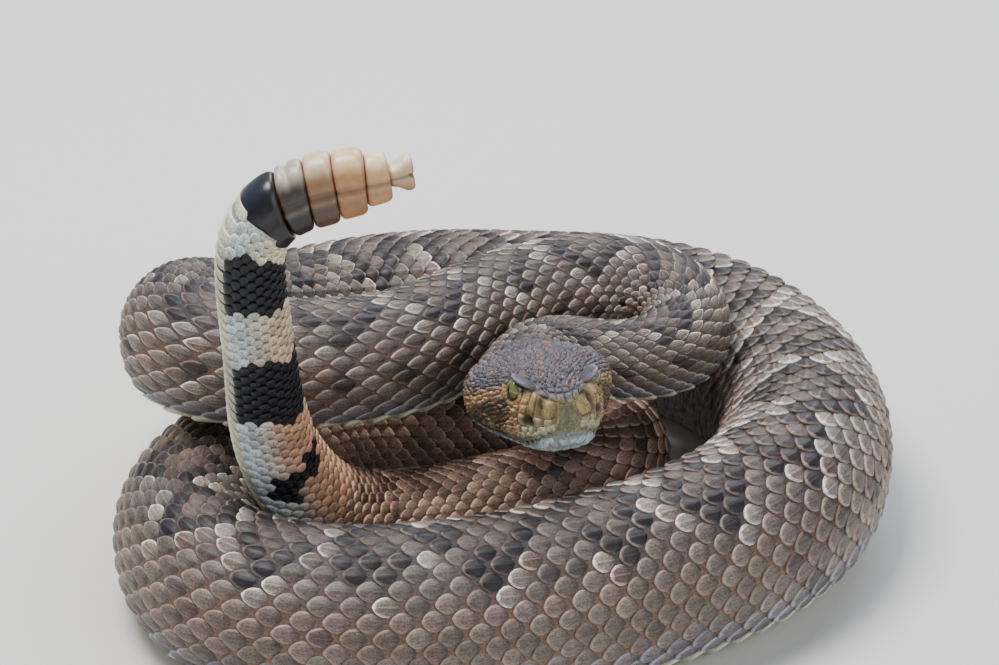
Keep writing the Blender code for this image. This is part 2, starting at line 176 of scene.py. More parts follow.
def smooth_curve(points, steps):
    """A natural cubic curve through the points, with steps samples between neighbours."""
    points = np.array(points, float)
    gaps = np.sqrt(np.linalg.norm(np.diff(points[:, :3], axis=0), axis=1))
    count = len(points)
    system = np.eye(count)
    wanted = np.zeros_like(points)
    for i in range(1, count - 1):
        before, after = gaps[i - 1], gaps[i]
        system[i, i - 1:i + 2] = before, 2.0 * (before + after), after
        rise = (points[i + 1] - points[i]) / after - (points[i] - points[i - 1]) / before
        wanted[i] = 6.0 * rise
    bends = np.linalg.solve(system, wanted)
    samples = []
    for i in range(count - 1):
        for t in np.linspace(0.0, gaps[i], steps, endpoint=False):
            u = gaps[i] - t
            cubic = (bends[i] * u ** 3 + bends[i + 1] * t ** 3) / (6.0 * gaps[i])
            start = (points[i] / gaps[i] - bends[i] * gaps[i] / 6.0) * u
            end = (points[i + 1] / gaps[i] - bends[i + 1] * gaps[i] / 6.0) * t
            samples.append(cubic + start + end)
    samples.append(points[-1])
    return np.array(samples)


def unit(rows):
    return rows / np.maximum(np.linalg.norm(rows, axis=-1, keepdims=True), 1e-9)


def running_sum(steps):
    return np.concatenate([[0.0], np.cumsum(steps)])


def lengths_along(points):
    """How far along a line of points each of them lies."""
    return running_sum(np.linalg.norm(np.diff(points, axis=0), axis=1))


def rows_at(wanted, at, rows):
    """Rows of three values between the given ones."""
    return np.stack([np.interp(wanted, at, rows[:, k]) for k in range(3)], -1)


def squared_off(value, power):
    """A circle's sine or cosine moved out to a squarer section."""
    return np.sign(value) * np.abs(value) ** (2.0 / power)


def smooth_step(low, high, value):
    share = np.clip((value - low) / (high - low), 0.0, 1.0)
    return share * share * (3.0 - 2.0 * share)


def hump(start, full, fade, end, value):
    """0 before start, 1 from full to fade, and 0 again after end."""
    return smooth_step(start, full, value) * (1.0 - smooth_step(fade, end, value))


def angle_step(low, high, angle):
    """A smooth step between two angles in degrees, measured from the middle of the back to either side."""
    return smooth_step(math.radians(low), math.radians(high), np.abs(angle))


def head_axes():
    """The head's forward, side and up directions."""
    forward = np.array([math.sin(HEAD_YAW) * math.cos(HEAD_PITCH),
                        -math.cos(HEAD_YAW) * math.cos(HEAD_PITCH),
                        math.sin(HEAD_PITCH)])
    side = np.array([math.cos(HEAD_YAW), math.sin(HEAD_YAW), 0.0])
    return forward, side, np.cross(forward, side)


FORWARD, HEAD_SIDE, HEAD_UP = head_axes()
HEAD_CENTRE = np.array(SNOUT) - np.array([COIL_CENTRE[0], COIL_CENTRE[1], 0.0])


class Route:
    """The line down the middle of the snake, by distance from the snout, with its side and top."""

    def __init__(self):
        rear = (0.0, HEAD_STRAIGHT / 2.0, HEAD_STRAIGHT)
        axis = [tuple(np.array(SNOUT) - FORWARD * distance) + (HEAD_RADIUS,) for distance in rear]
        curve = smooth_curve(axis + NECK_ROUTE + UPPER_LOOP + FLOOR_LOOP + INNER_LOOP + RAISED_TAIL, 24)
        curve[:, :2] -= COIL_CENTRE
        along = lengths_along(curve[:, :3])
        self.length = along[-1]
        self.at = np.linspace(0.0, self.length, 2400)
        self.place = rows_at(self.at, along, curve)
        self.radius = np.interp(self.at, along, curve[:, 3])
        self.tangent = unit(np.gradient(self.place, self.at, axis=0))
        bend = np.gradient(self.tangent, self.at, axis=0)
        window = np.ones(25) / 25.0
        self.bend = np.stack([np.convolve(bend[:, k], window, mode="same") for k in range(3)], -1)
        self.top = self.back_directions()

    def back_directions(self):
        """The back faces up along the coil, and turns with the tail as it rises and curls over."""
        t = self.tangent
        rising = np.stack([t[:, 2], np.zeros(len(t)), -t[:, 0]], -1)
        share = np.clip((self.at - (self.length - TAIL_TURN_START)) / TAIL_TURN_LENGTH, 0.0, 1.0)[:, None]
        top = np.array([0.0, 0.0, 1.0]) * (1.0 - share) + rising * share
        return unit(top - t * np.sum(top * t, axis=1, keepdims=True))

    def frames(self, s):
        """Centres, sides, tops and bends at many distances."""
        place, tangent, top, bend = [rows_at(s, self.at, rows)
                                     for rows in (self.place, self.tangent, self.top, self.bend)]
        tangent = unit(tangent)
        top = unit(top - tangent * np.sum(top * tangent, axis=-1, keepdims=True))
        return place, np.cross(top, tangent), top, bend


ROUTE = Route()
RATTLE_START = ROUTE.length - RATTLE_LENGTH
COAT_END = RATTLE_START - MATRIX_LENGTH + 2.5


def sections(s):
    """Half width, top, bottom and the two powers of the skin's sections, COAT_DEPTH under the solids."""
    radius = np.interp(s, ROUTE.at, ROUTE.radius)
    share = np.clip(s / SNOUT_ROUNDING, 0.0, 1.0)
    share = np.where(s < SNOUT_ROUNDING,
                     (1.0 - (1.0 - share) ** SNOUT_BLUNTNESS) ** (1.0 / SNOUT_BLUNTNESS), 1.0)
    on_head = s < HEAD_AT[-1]
    depth = COAT_DEPTH * np.where(on_head, np.clip(share, 0.0, 1.0), 1.0)
    pairs = ((HEAD_HALF_WIDTH, radius), (HEAD_TOP, radius), (HEAD_BOTTOM, radius * BELLY_DEPTH))
    sizes = [np.maximum(np.where(on_head, share * np.interp(s, HEAD_AT, head), body) - depth, 0.0)
             for head, body in pairs]
    upper_power = np.where(on_head, np.interp(s, HEAD_AT, HEAD_SQUARENESS), 2.0)
    lower_power = np.where(on_head, np.interp(s, HEAD_AT, JAW_SQUARENESS), BELLY_SQUARENESS)
    return (*sizes, upper_power, lower_power)


def mouth_angle(s):
    """The angle from the back at which the mouth line crosses the head; it meets itself under the snout."""
    _, _, bottom, _, power = sections(s)
    drop = -np.interp(s, MOUTH_AT, MOUTH_HEIGHT) / np.maximum(bottom, 0.1)
    return math.pi - np.arccos(np.clip(drop, 0.0, 1.0) ** (power / 2.0))


def plain_surface(s, angle):
    """Points of the skin before the head's relief, with the direction out of the middle line."""
    width, top, bottom, upper_power, lower_power = sections(s)
    cosine = np.cos(angle)
    power = np.where(cosine >= 0.0, upper_power, lower_power)
    x = width * squared_off(np.sin(angle), power)
    z = np.where(cosine >= 0.0, top, bottom) * squared_off(cosine, power)
    place, side, up, bend = ROUTE.frames(s)
    offset = side * x[..., None] + up * z[..., None]
    tightness = np.maximum(np.linalg.norm(bend, axis=-1), 1e-6)
    inward = bend / tightness[..., None]
    reach = np.sum(offset * inward, axis=-1)
    limit = INNER_BEND_LIMIT / tightness
    start = 0.7 * limit
    over = np.maximum(reach - start, 0.0)
    kept = (limit - start) * (1.0 - np.exp(-over / (limit - start)))
    offset = offset - inward * np.where(reach > start, over - kept, 0.0)[..., None]
    return place + offset, unit(offset)


def head_coordinates(points):
    """Distance behind the snout, to the side and above the snout's centre, in mm."""
    away = points - HEAD_CENTRE
    return -away @ FORWARD, away @ HEAD_SIDE, away @ HEAD_UP


def head_relief(points, s, angle):
    """How far the head's skin stands out or in: mouth line, sockets, pits, nostrils, muscles and ridges."""
    behind, aside, above = head_coordinates(points)
    place = np.stack([behind, np.abs(aside), above], -1)
    relief = np.zeros(len(points))
    for at, reach, height in HEAD_FORMS:
        distance = np.sum(((place - at) / reach) ** 2, axis=-1)
        relief += height * np.exp(-distance * 1.6)
    apart = (np.abs(angle) - mouth_angle(s)) * np.maximum(sections(s)[0], 2.0)
    along = hump(0.2, 1.0, JAW_END - 4.0, JAW_END, s)
    for height, at, width in MOUTH_FORMS:
        relief += height * np.exp(-((apart - at) / width) ** 2) * along
    return relief * (1.0 - smooth_step(*HEAD_FADE, s)) * smooth_step(0.0, 2.0, s + 0.6)


def surface(s, angle, lift=0.0):
    """Skin points in mm, raised by a lift, with the stretch along s and the girth per radian."""
    s, angle = np.broadcast_arrays(np.asarray(s, float), np.asarray(angle, float))
    shape = s.shape
    s, angle = s.ravel(), angle.ravel()

    def relieved(at, turn):
        points, out = plain_surface(at, turn)
        near = at < HEAD_END
        if near.any():
            points[near] += out[near] * head_relief(points[near], at[near], turn[near])[:, None]
        return points

    step, turn = 0.25, 0.02
    along = relieved(s + step, angle) - relieved(np.maximum(s - step, 0.0), angle)
    around = relieved(s, angle + turn) - relieved(s, angle - turn)
    normal = unit(np.cross(around, along))
    normal[np.sum(normal * plain_surface(s, angle)[1], axis=-1) < 0.0] *= -1.0
    points = relieved(s, angle) + normal * np.broadcast_to(lift, shape).ravel()[:, None]
    points[:, 2] = np.maximum(points[:, 2], LOWEST)
    stretch = np.linalg.norm(along, axis=-1) / (2.0 * step)
    girth = np.linalg.norm(around, axis=-1) / (2.0 * turn)
    return points.reshape(shape + (3,)), stretch.reshape(shape), girth.reshape(shape)


def tone(red, green, blue):
    """A colour seen on screen, from 0 to 255, as linear light."""
    seen = np.array([red, green, blue]) / 255.0
    return np.where(seen <= 0.04045, seen / 12.92, ((seen + 0.055) / 1.055) ** 2.4)


def mix(first, second, share):
    share = np.asarray(share)[..., None]
    return first * (1.0 - share) + second * share


GROUND_TOP = tone(98, 87, 82)
GROUND_RIM = tone(168, 156, 146)
BLOTCH = tone(74, 62, 59)
DARK_EDGE = tone(30, 27, 36)
DARK_RIM = tone(98, 82, 70)
PALE_EDGE = tone(240, 232, 220)
FLANK = tone(118, 103, 94)
FLANK_RIM = tone(174, 156, 140)
LOW_SCALE = tone(112, 114, 120)
# Pale blue-grey rims of the lowest rows: painted highlight, the sky's sheen on their edges.
LOW_SHEEN_RIM = tone(166, 180, 196)
RUSSET = tone(140, 112, 96)
RUSSET_RIM = tone(184, 150, 126)
DARK_SKIN = tone(40, 33, 42)
TAN_SKIN = tone(104, 80, 64)
PEACH_SKIN = tone(118, 91, 73)
TAIL_WHITE = tone(206, 216, 214)
TAIL_PEACH = tone(204, 158, 124)
TAIL_CREAM = tone(222, 208, 178)
TAIL_BASE = tone(134, 104, 88)
TAIL_BLACK = tone(20, 21, 26)
BELLY_CREAM = tone(206, 200, 156)
FACE = tone(156, 138, 90)
CROWN = tone(92, 88, 96)
CROWN_RIM = tone(152, 160, 180)
CROWN_BLUE = tone(90, 96, 112)
CROWN_ORANGE = tone(150, 112, 88)
CHEEK_PATCH = tone(84, 74, 50)
CHEEK_STRIPE = tone(198, 160, 114)
JAW_PALE = tone(192, 208, 206)
LIP_PALE = tone(196, 192, 160)
ROSTRAL = tone(116, 112, 86)
PIT_SHADE = tone(30, 20, 26)
BROW_PLATE = tone(76, 70, 78)
BROW_EDGE = tone(112, 110, 124)
PLATE_EDGE = tone(206, 184, 122)
IRIS_DARK = tone(66, 68, 34)
IRIS_LIGHT = tone(140, 138, 74)
IRIS_EDGE = tone(60, 62, 34)
PUPIL = tone(14, 14, 12)
RATTLE_GROOVE = tone(120, 68, 34)
RATTLE_TONES = (
    (tone(26, 30, 42), tone(13, 14, 20), tone(11, 11, 15)),
    (tone(184, 174, 154), tone(58, 50, 42), tone(18, 16, 18)),
    (tone(218, 194, 162), tone(152, 114, 76), tone(78, 54, 38)),
    (tone(226, 194, 152), tone(188, 140, 90), tone(164, 116, 74)),
    (tone(234, 216, 172), tone(206, 170, 118), tone(184, 138, 92)),
    (tone(230, 214, 182), tone(196, 168, 128), tone(184, 146, 108)),
)


def blotch_value(s, angle):
    """Below 1 inside a back diamond, 1 on its pale edge, above 1 on the flanks; and the flank spots."""
    phase = np.interp(s, BLOTCH_AT, BLOTCH_COUNT)
    along = np.abs((phase % 1.0) - 0.5) * 2.0
    across = np.abs(angle) / BLOTCH_REACH
    diamond = (along ** 1.2 + across ** 1.2) ** (1.0 / 1.2)
    spot_along = np.abs(((phase * 2.0 + 0.5) % 1.0) - 0.5) * 2.0
    spot = np.hypot(spot_along * 1.7, (np.abs(angle) - FLANK_SPOTS_AT) / math.radians(16.0))
    return diamond, spot


def coat_colours(s, angle, jitter):
    """Middle and rim colours of scales with centres at s and angle: diamonds, flank spots, banded tail."""
    diamond, spot = blotch_value(s, angle)
    second, third = np.roll(jitter, 7), np.roll(jitter, 13)
    value = diamond + jitter * 0.16
    flank = angle_step(35.0, 75.0, angle)
    middle = mix(GROUND_TOP, FLANK, flank)
    rim = mix(GROUND_RIM, FLANK_RIM, flank)
    dark = (value > 0.5) & (value < 0.93) & (second > -0.72)
    pale = (value > 0.93) & (value < 1.2) & (third > -0.55)
    pale |= (spot > 0.6) & (spot < 0.85) & (second > 0.3) & (s < PLAIN_FROM[0])
    for chosen, middles, middle_share, rims, rim_share in (
            (value < 0.8, (BLOTCH, FLANK), 0.35 + 0.35 * second, (GROUND_RIM, DARK_RIM), 0.4 + 0.3 * second),
            (dark, (DARK_EDGE, BLOTCH), 0.16 + 0.16 * second, (DARK_RIM, GROUND_RIM), 0.25 + 0.25 * third),
            (pale, (FLANK, PALE_EDGE), 0.04 + 0.12 * second, (PALE_EDGE, FLANK_RIM), 0.12 - 0.12 * second)):
        middle = np.where(chosen[:, None], mix(*middles, middle_share), middle)
        rim = np.where(chosen[:, None], mix(*rims, rim_share), rim)
    rim = mix(rim, middle * 1.2, 0.5 * hump(*FRONT_RUN, s) * ~(pale | dark))
    spotted = (spot + second * 0.2 < 0.6) * (1.0 - 0.75 * smooth_step(*PLAIN_FROM, s))
    middle = mix(middle, BLOTCH * 0.5, 0.9 * spotted)
    rim = mix(rim, DARK_RIM, 0.6 * spotted)
    middle = np.where(((third > 0.84) & ~pale)[:, None], middle * 0.6, middle)
    low = angle_step(92.0, 122.0, angle)
    middle = mix(middle, LOW_SCALE, 0.55 * low)
    # Painted highlight: the lowest rows' rims take the sky's pale blue sheen.
    rim = mix(rim, LOW_SHEEN_RIM, 0.75 * low)
    inner = 0.78 * hump(*INNER_RUN, s)
    strength = np.clip(middle.mean(-1, keepdims=True) / 0.11, 0.4, 1.5)
    late = smooth_step(1010.0, 1060.0, s)
    middle = mix(middle, mix(RUSSET, TAIL_BASE, late) * strength, inner)
    rim = mix(rim, mix(RUSSET_RIM, TAIL_PEACH, late) * (0.4 + 0.6 * strength), inner)
    tail = smooth_step(*TAIL_FROM, s)
    banded = tail_colours(s, angle, jitter)
    return mix(middle, banded * 0.9, tail), mix(rim, banded * 1.1 + 0.004, tail)


def tail_bands(s, angle, jitter):
    """Which band of the tail a place is in: 1 in a black band, 0 in a pale one."""
    wave = 1.2 * np.cos(angle * 2.0) + jitter * 0.8
    black = np.zeros_like(s)
    for start, end in TAIL_BANDS:
        black = np.maximum(black, ((s + wave > start) & (s + wave < end)).astype(float))
    for at, side, length, reach in TAIL_PATCHES:
        far = ((s - at) / length) ** 2 + ((np.abs(angle) - math.radians(side)) / math.radians(reach)) ** 2
        black = np.maximum(black, (far < 1.0).astype(float))
    return black


def tail_colours(s, angle, jitter):
    """The tail's black bands on white, which turns to peach towards the back and the body."""
    warm = mix(TAIL_CREAM, TAIL_PEACH, 1.0 - smooth_step(1125.0, 1190.0, s))
    pale = mix(TAIL_WHITE, warm, smooth_step(-0.45, 0.6, np.cos(angle)))
    return mix(pale, TAIL_BLACK, tail_bands(s, angle, jitter))


def skin_colours(s, angle):
    """The bare skin between the scales."""
    diamond, spot = blotch_value(s, angle)
    weak = 1.0 - 0.8 * smooth_step(*PLAIN_FROM, s)
    spots = 0.8 * weak * (1.0 - smooth_step(0.4, 0.9, spot))
    dark = np.clip(np.exp(-((diamond - 0.78) / 0.3) ** 2) + spots, 0.0, 1.0)
    plain = mix(TAN_SKIN, PEACH_SKIN, hump(*FRONT_SKIN_RUN, s))
    colour = mix(DARK_SKIN, plain, (1.0 - dark) * (0.35 + 0.65 * angle_step(30.0, 90.0, angle)))
    # From 850 mm on, over the inner loop deep in the coil, the skin between the scales is darkened: painted
    # shade in the gaps.
    colour = mix(colour, DARK_SKIN, 0.7 * smooth_step(850.0, 900.0, s))
    colour = mix(colour, BELLY_CREAM, smooth_step(BELLY_EDGE - 0.05, BELLY_EDGE + 0.1, np.abs(angle)))
    tail = mix(tail_colours(s, angle, np.zeros_like(s)), TAIL_BLACK, 0.35)
    return mix(colour, tail, smooth_step(*TAIL_FROM, s))


def place_in_scene(name, data):
    made = bpy.data.objects.new(name, data)
    bpy.context.scene.collection.objects.link(made)
    return made


def add_mesh(name, points, blocks, colours, patches, finish):
    """A mesh object from points in mm, blocks of faces with equal corners, colours by name and map places."""
    mesh = bpy.data.meshes.new(name)
    corners = np.concatenate([np.asarray(block).ravel() for block in blocks])
    sizes = np.concatenate([np.full(len(block), np.asarray(block).shape[1]) for block in blocks])
    mesh.vertices.add(len(points))
    mesh.vertices.foreach_set("co", (np.asarray(points) * MM).astype(np.float32).ravel())
    mesh.loops.add(len(corners))
    mesh.loops.foreach_set("vertex_index", corners.astype(np.int32))
    mesh.polygons.add(len(sizes))
    starts = np.concatenate([[0], np.cumsum(sizes)[:-1]])
    mesh.polygons.foreach_set("loop_start", starts.astype(np.int32))
    mesh.update(calc_edges=True)
    mesh.shade_smooth()
    for label, values in colours.items():
        layer = mesh.color_attributes.new(label, "FLOAT_COLOR", "POINT")
        rgba = np.ones((len(points), 4), np.float32)
        rgba[:, :3] = values
        layer.data.foreach_set("color", rgba.ravel())
    layer = mesh.uv_layers.new(name="OFBake")
    layer.data.foreach_set("uv", np.asarray(patches, np.float32)[corners].ravel())
    mesh.materials.append(finish)
    made = place_in_scene(name, mesh)
    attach(made, "root")
    return made


def outline_shape(along, widest, root, tip, least):
    """A scale's half width along its length; root and tip each give a power and a bend of their curve."""
    before = np.clip((widest - along) / widest, 0.0, 1.0)
    after = np.clip((along - widest) / (1.0 - widest), 0.0, 1.0)
    rooted = (1.0 - before ** root[0]) ** root[1]
    tipped = (1.0 - after ** tip[0]) ** tip[1]
    return np.maximum(np.where(along < widest, rooted, tipped), least)


def closed_rings(rings, around, base=0):
    """Faces between rings of points that lie one after another, each ring closed on itself."""
    quads = []
    for i in range(rings - 1):
        for k in range(around):
            a, b = base + i * around + k, base + i * around + (k + 1) % around
            quads.append((a, a + around, b + around, b))
    return quads


def scale_template(stations, across, outline):
    """A scale's grid: places along and across it, its outline, and closed faces: top, rims and underside."""
    along = 0.5 - 0.5 * np.cos(np.linspace(0.0, math.pi, stations))
    quads = []
    for i in range(stations - 1):
        for k in range(across - 1):
            a = i * across + k
            quads.append((a, a + across, a + across + 1, a + 1))
    under = stations * across
    for i in range(stations - 1):
        left, right = i * across, i * across + across - 1
        low, high = under + 2 * i, under + 2 * i + 1
        quads.append((left, low, low + 2, left + across))
        quads.append((right + across, high + 2, high, right))
        quads.append((low, high, high + 2, low + 2))
    first = list(range(across)) + [under + 1, under]
    last = [under + 2 * stations - 2, under + 2 * stations - 1] + list(reversed(range(under - across, under)))
    return {"along": along, "over": np.linspace(-1.0, 1.0, across), "outline": outline(along),
            "blocks": [np.array(quads), np.array([first, last])]}


def shaped_template(stations, across, *shape):
    return scale_template(stations, across, lambda along: outline_shape(along, *shape))


LENS = shaped_template(9, 7, 0.46, (1.8, 0.7), (1.8, 0.78), 0.06)
KITE = shaped_template(9, 7, 0.5, (1.7, 0.66), (1.7, 0.78), 0.08)
SHIELD = shaped_template(9, 7, 0.54, (2.2, 0.56), (1.9, 0.64), 0.12)
ROUND = shaped_template(7, 7, 0.5, (3.0, 0.5), (3.2, 0.5), 0.3)
PLATE = shaped_template(9, 9, 0.5, (6.0, 0.35), (6.0, 0.35), 0.55)
BROW_OUTLINE = outline_shape(PLATE["along"], 0.6, (1.9, 0.6), (2.6, 0.5), 0.2)
GRAIN = shaped_template(5, 5, 0.45, (2.4, 0.5), (2.4, 0.6), 0.3)


def scale_points(template, s, angle, length, width, form, turn):
    """Points of many scales at once, each a low dome that rises from its root to its free tip."""
    along, over = template["along"], template["over"]
    count = len(s)
    outline = np.broadcast_to(form.get("outline", template["outline"]), (count, len(along)))
    _, stretch, girth = surface(s, angle)
    s, angle, length, width, turn, stretch, girth = [
        values[:, None, None] for values in (s, angle, length, width, turn, stretch, girth)]
    b = over[None, None, :] * outline[:, :, None] * width / 2.0
    a = (along[None, :, None] - 0.5) * length + np.zeros_like(b)
    x = a * np.cos(turn) - b * np.sin(turn)
    y = a * np.sin(turn) + b * np.cos(turn)
    at = np.maximum(s + x / np.maximum(stretch, 0.3), 0.05)
    angles = angle + y / np.maximum(girth, 1.0)
    size = width / 4.0
    ends = np.sin(math.pi * np.clip(along, 0.03, 0.97))[None, :, None] ** 0.5
    bulge = np.clip(1.0 - over ** 2, 0.0, 1.0)[None, None, :] ** 0.8
    crest = np.clip(1.0 - np.abs(over) / 0.34, 0.0, 1.0)[None, None, :]
    rise = form["root"] + (form["tip"] - form["root"]) * along[None, :, None] ** 1.2
    top = (rise + (form["dome"] * bulge + form["keel"] * crest) * ends) * size
    low = (rise - form["thickness"]) * size + np.zeros((count, len(along), 2))
    top_points = surface(at, angles, top)[0]
    low_points = surface(at[:, :, [0, -1]], angles[:, :, [0, -1]], low)[0]
    return np.concatenate([top_points.reshape(count, -1, 3), low_points.reshape(count, -1, 3)], axis=1)


def add_scales(name, template, points, middle, rim, place, patch, finish):
    """A piece of many copies of a template; place is each scale's (u, v), patch its own map's size."""
    count, each = points.shape[:2]
    grids = [np.meshgrid(template["along"], over, indexing="ij")
             for over in (template["over"], template["over"][[0, -1]])]
    local_a, local_b = [np.concatenate([grid[k].ravel() for grid in grids]) for k in (0, 1)]
    chance = RANDOM.uniform(0.0, 1.0, (count, 1))
    parts = (local_a, local_b * 0.5 + 0.5, chance)
    local = np.stack([np.broadcast_to(part, (count, each)) for part in parts], -1)
    u = place[0][:, None] + (local_a - 0.5) * patch[0]
    v = place[1][:, None] + local_b * 0.5 * patch[1]
    offsets = np.arange(count)[:, None, None] * each
    blocks = [(offsets + block[None]).reshape(-1, block.shape[1]) for block in template["blocks"]]
    colours = {label: np.broadcast_to(given.reshape(count, -1, 3), (count, each, 3)).reshape(-1, 3)
               for label, given in (("Tint", middle), ("Rim", rim), ("Place", local))}
    patches = np.clip(np.stack([u, v], -1).reshape(-1, 2), 0.0, 1.0)
    add_mesh(name, points.reshape(-1, 3), blocks, colours, patches, finish)


def scale_pitch(s):
    """Distance between neighbours in one row, in mm."""
    return np.interp(s, PITCH_AT, PITCH)


def mean_radius(s):
    """The mean of the body's half width and its height over the middle line."""
    wide, tall = sections(s)[:2]
    return (wide + tall) / 2.0 + COAT_DEPTH


def row_angles(rows):
    """The rows' angles, evenly spaced round back and flanks, and their spacing on a body of radius 1."""
    turn = np.linspace(0.0, BELLY_EDGE, 400)
    upper = turn < math.pi / 2.0
    power = np.where(upper, 2.0, BELLY_SQUARENESS)
    x = squared_off(np.sin(turn), power)
    z = np.where(upper, 1.0, BELLY_DEPTH) * squared_off(np.cos(turn), power)
    arc = running_sum(np.hypot(np.diff(x), np.diff(z)))
    place = (np.arange(rows) - (rows - 1) / 2.0) * 2.0 / rows * arc[-1]
    return np.sign(place) * np.interp(np.abs(place), arc, turn), 2.0 * arc[-1] / rows


def counted_pitches(start, end):
    """Distances along a stretch and how many pitches lie before each."""
    fine = np.linspace(start, end, 4000)
    return fine, running_sum(np.diff(fine) / scale_pitch(fine[:-1]))


def lattice(start, end, angles):
    """Distances, angles and row numbers of the scales' centres, every other row half a pitch on."""
    fine, count = counted_pitches(start, end)
    found = []
    for row, angle in enumerate(angles):
        numbers = np.arange(math.ceil(count[-1])) + 0.5 * (row % 2)
        places = np.interp(numbers[numbers < count[-1]], count, fine)
        found.append(np.stack([places, np.full(len(places), angle), np.full(len(places), float(row))]))
    found = np.concatenate(found, axis=1)
    return found[:, found[0] < COAT_END - COAT_SLANT * (1.0 + np.cos(found[1]))]


# How scales stand up, in quarters of their width, and the coat's two runs with their rows and pieces.
KEELED_FORM = {"dome": 0.42, "keel": 0.2, "root": -0.24, "tip": 0.32, "thickness": 0.3}
TAIL_FORM = {"dome": 0.7, "keel": 0.1, "root": -0.3, "tip": 0.6, "thickness": 0.4}
SCUTE_FORM = {"dome": 0.0, "keel": 0.0, "root": -0.02, "tip": 0.05, "thickness": 0.03}
CROWN_FORM = {"dome": 1.7, "keel": 0.3, "root": -0.5, "tip": 0.6, "thickness": 0.4}
CHIN_FORM = {"dome": 0.5, "keel": 0.0, "root": -0.3, "tip": 0.5, "thickness": 0.4}
COAT_RUNS = ((COAT_START, TAIL_COAT_START, SCALE_ROWS, COAT_PIECES, "back_scales_%02d"),
             (TAIL_COAT_START, COAT_END, TAIL_ROWS, 2, "tail_scales_%02d"))


def body_coat(finish):
    """Keeled scales over the back and flanks, and smaller domed ones on the tail."""
    for start, end, rows, pieces, title in COAT_RUNS:
        angles, spacing = row_angles(rows)
        s, angle, row = lattice(start, end, angles)
        jitter = RANDOM.uniform(-1.0, 1.0, len(s))
        lower = angle_step(96.0, 122.0, angle)
        kite = smooth_step(*KITE_FROM, s)
        shield = hump(*FRONT_RUN, s)
        stretch = np.clip(surface(s, angle)[1], 0.5, 1.7) ** 0.8
        long_share = 0.94 + 0.14 * kite - 0.16 * shield + 0.2 * lower
        wide_share = 1.2 + 0.34 * kite - 0.26 * shield + 0.24 * lower
        length = scale_pitch(s) * stretch * long_share * RANDOM.uniform(0.96, 1.04, len(s))
        width = mean_radius(s) * spacing * wide_share * RANDOM.uniform(0.96, 1.04, len(s))
        if start == TAIL_COAT_START:
            template, form = ROUND, TAIL_FORM
            width = width * 0.8
        else:
            shapes = mix(LENS["outline"][None], KITE["outline"], kite)
            template, form = LENS, dict(KEELED_FORM, outline=mix(shapes, SHIELD["outline"], shield))
        points = scale_points(template, s, angle, length, width, form, RANDOM.uniform(-0.05, 0.05, len(s)))
        middle, rim = coat_colours(s, angle, jitter)
        shade = RANDOM.uniform(0.72, 1.2, (len(s), 1)) * (1.0 + RANDOM.uniform(-0.05, 0.05, (len(s), 3)))
        edges = np.linspace(start, end, pieces + 1)
        for k, (low, high) in enumerate(zip(edges[:-1], edges[1:])):
            inside = (s >= low) & (s < high)
            columns = (high - low) / scale_pitch((low + high) / 2.0)
            u = 0.03 + 0.94 * (s[inside] - low) / (high - low)
            v = 0.03 + 0.94 * (row[inside] + 0.5) / rows
            add_scales(title % (k + 1), template, points[inside], middle[inside] * shade[inside],
                       rim[inside] * shade[inside], (u, v), (0.8 / columns, 0.84 / rows), finish)


def belly_scutes(finish):
    """Wide plates across the belly, each overlapping the next."""
    start, end = COAT_START - 2.0, COAT_END
    fine, count = counted_pitches(start, end)
    s = np.interp(np.arange(math.ceil(count[-1])), count, fine)
    under = np.full(len(s), math.pi)
    radius = np.interp(s, ROUTE.at, ROUTE.radius)
    template = scale_template(6, 17, lambda along: 1.0 - 0.14 * np.abs(2.0 * along - 1.0) ** 3)
    width = 2.0 * (math.pi - BELLY_EDGE + math.radians(5.0)) * surface(s, under)[2]
    points = scale_points(template, s, under, scale_pitch(s) * 1.4, width, SCUTE_FORM, np.zeros(len(s)))
    bands = tail_bands(s, under / 2.0, np.zeros(len(s))) * (s > 1090.0)
    pale = mix(mix(BELLY_CREAM, TAIL_WHITE, 0.35), TAIL_BLACK, 0.3 * bands * (radius < 14.0))
    u = 0.02 + 0.96 * (s - start) / (end - start)
    add_scales("belly_scutes", template, points, pale, pale * 1.1, (u, np.full(len(s), 0.5)),
               (0.8 / len(s), 0.9), finish)


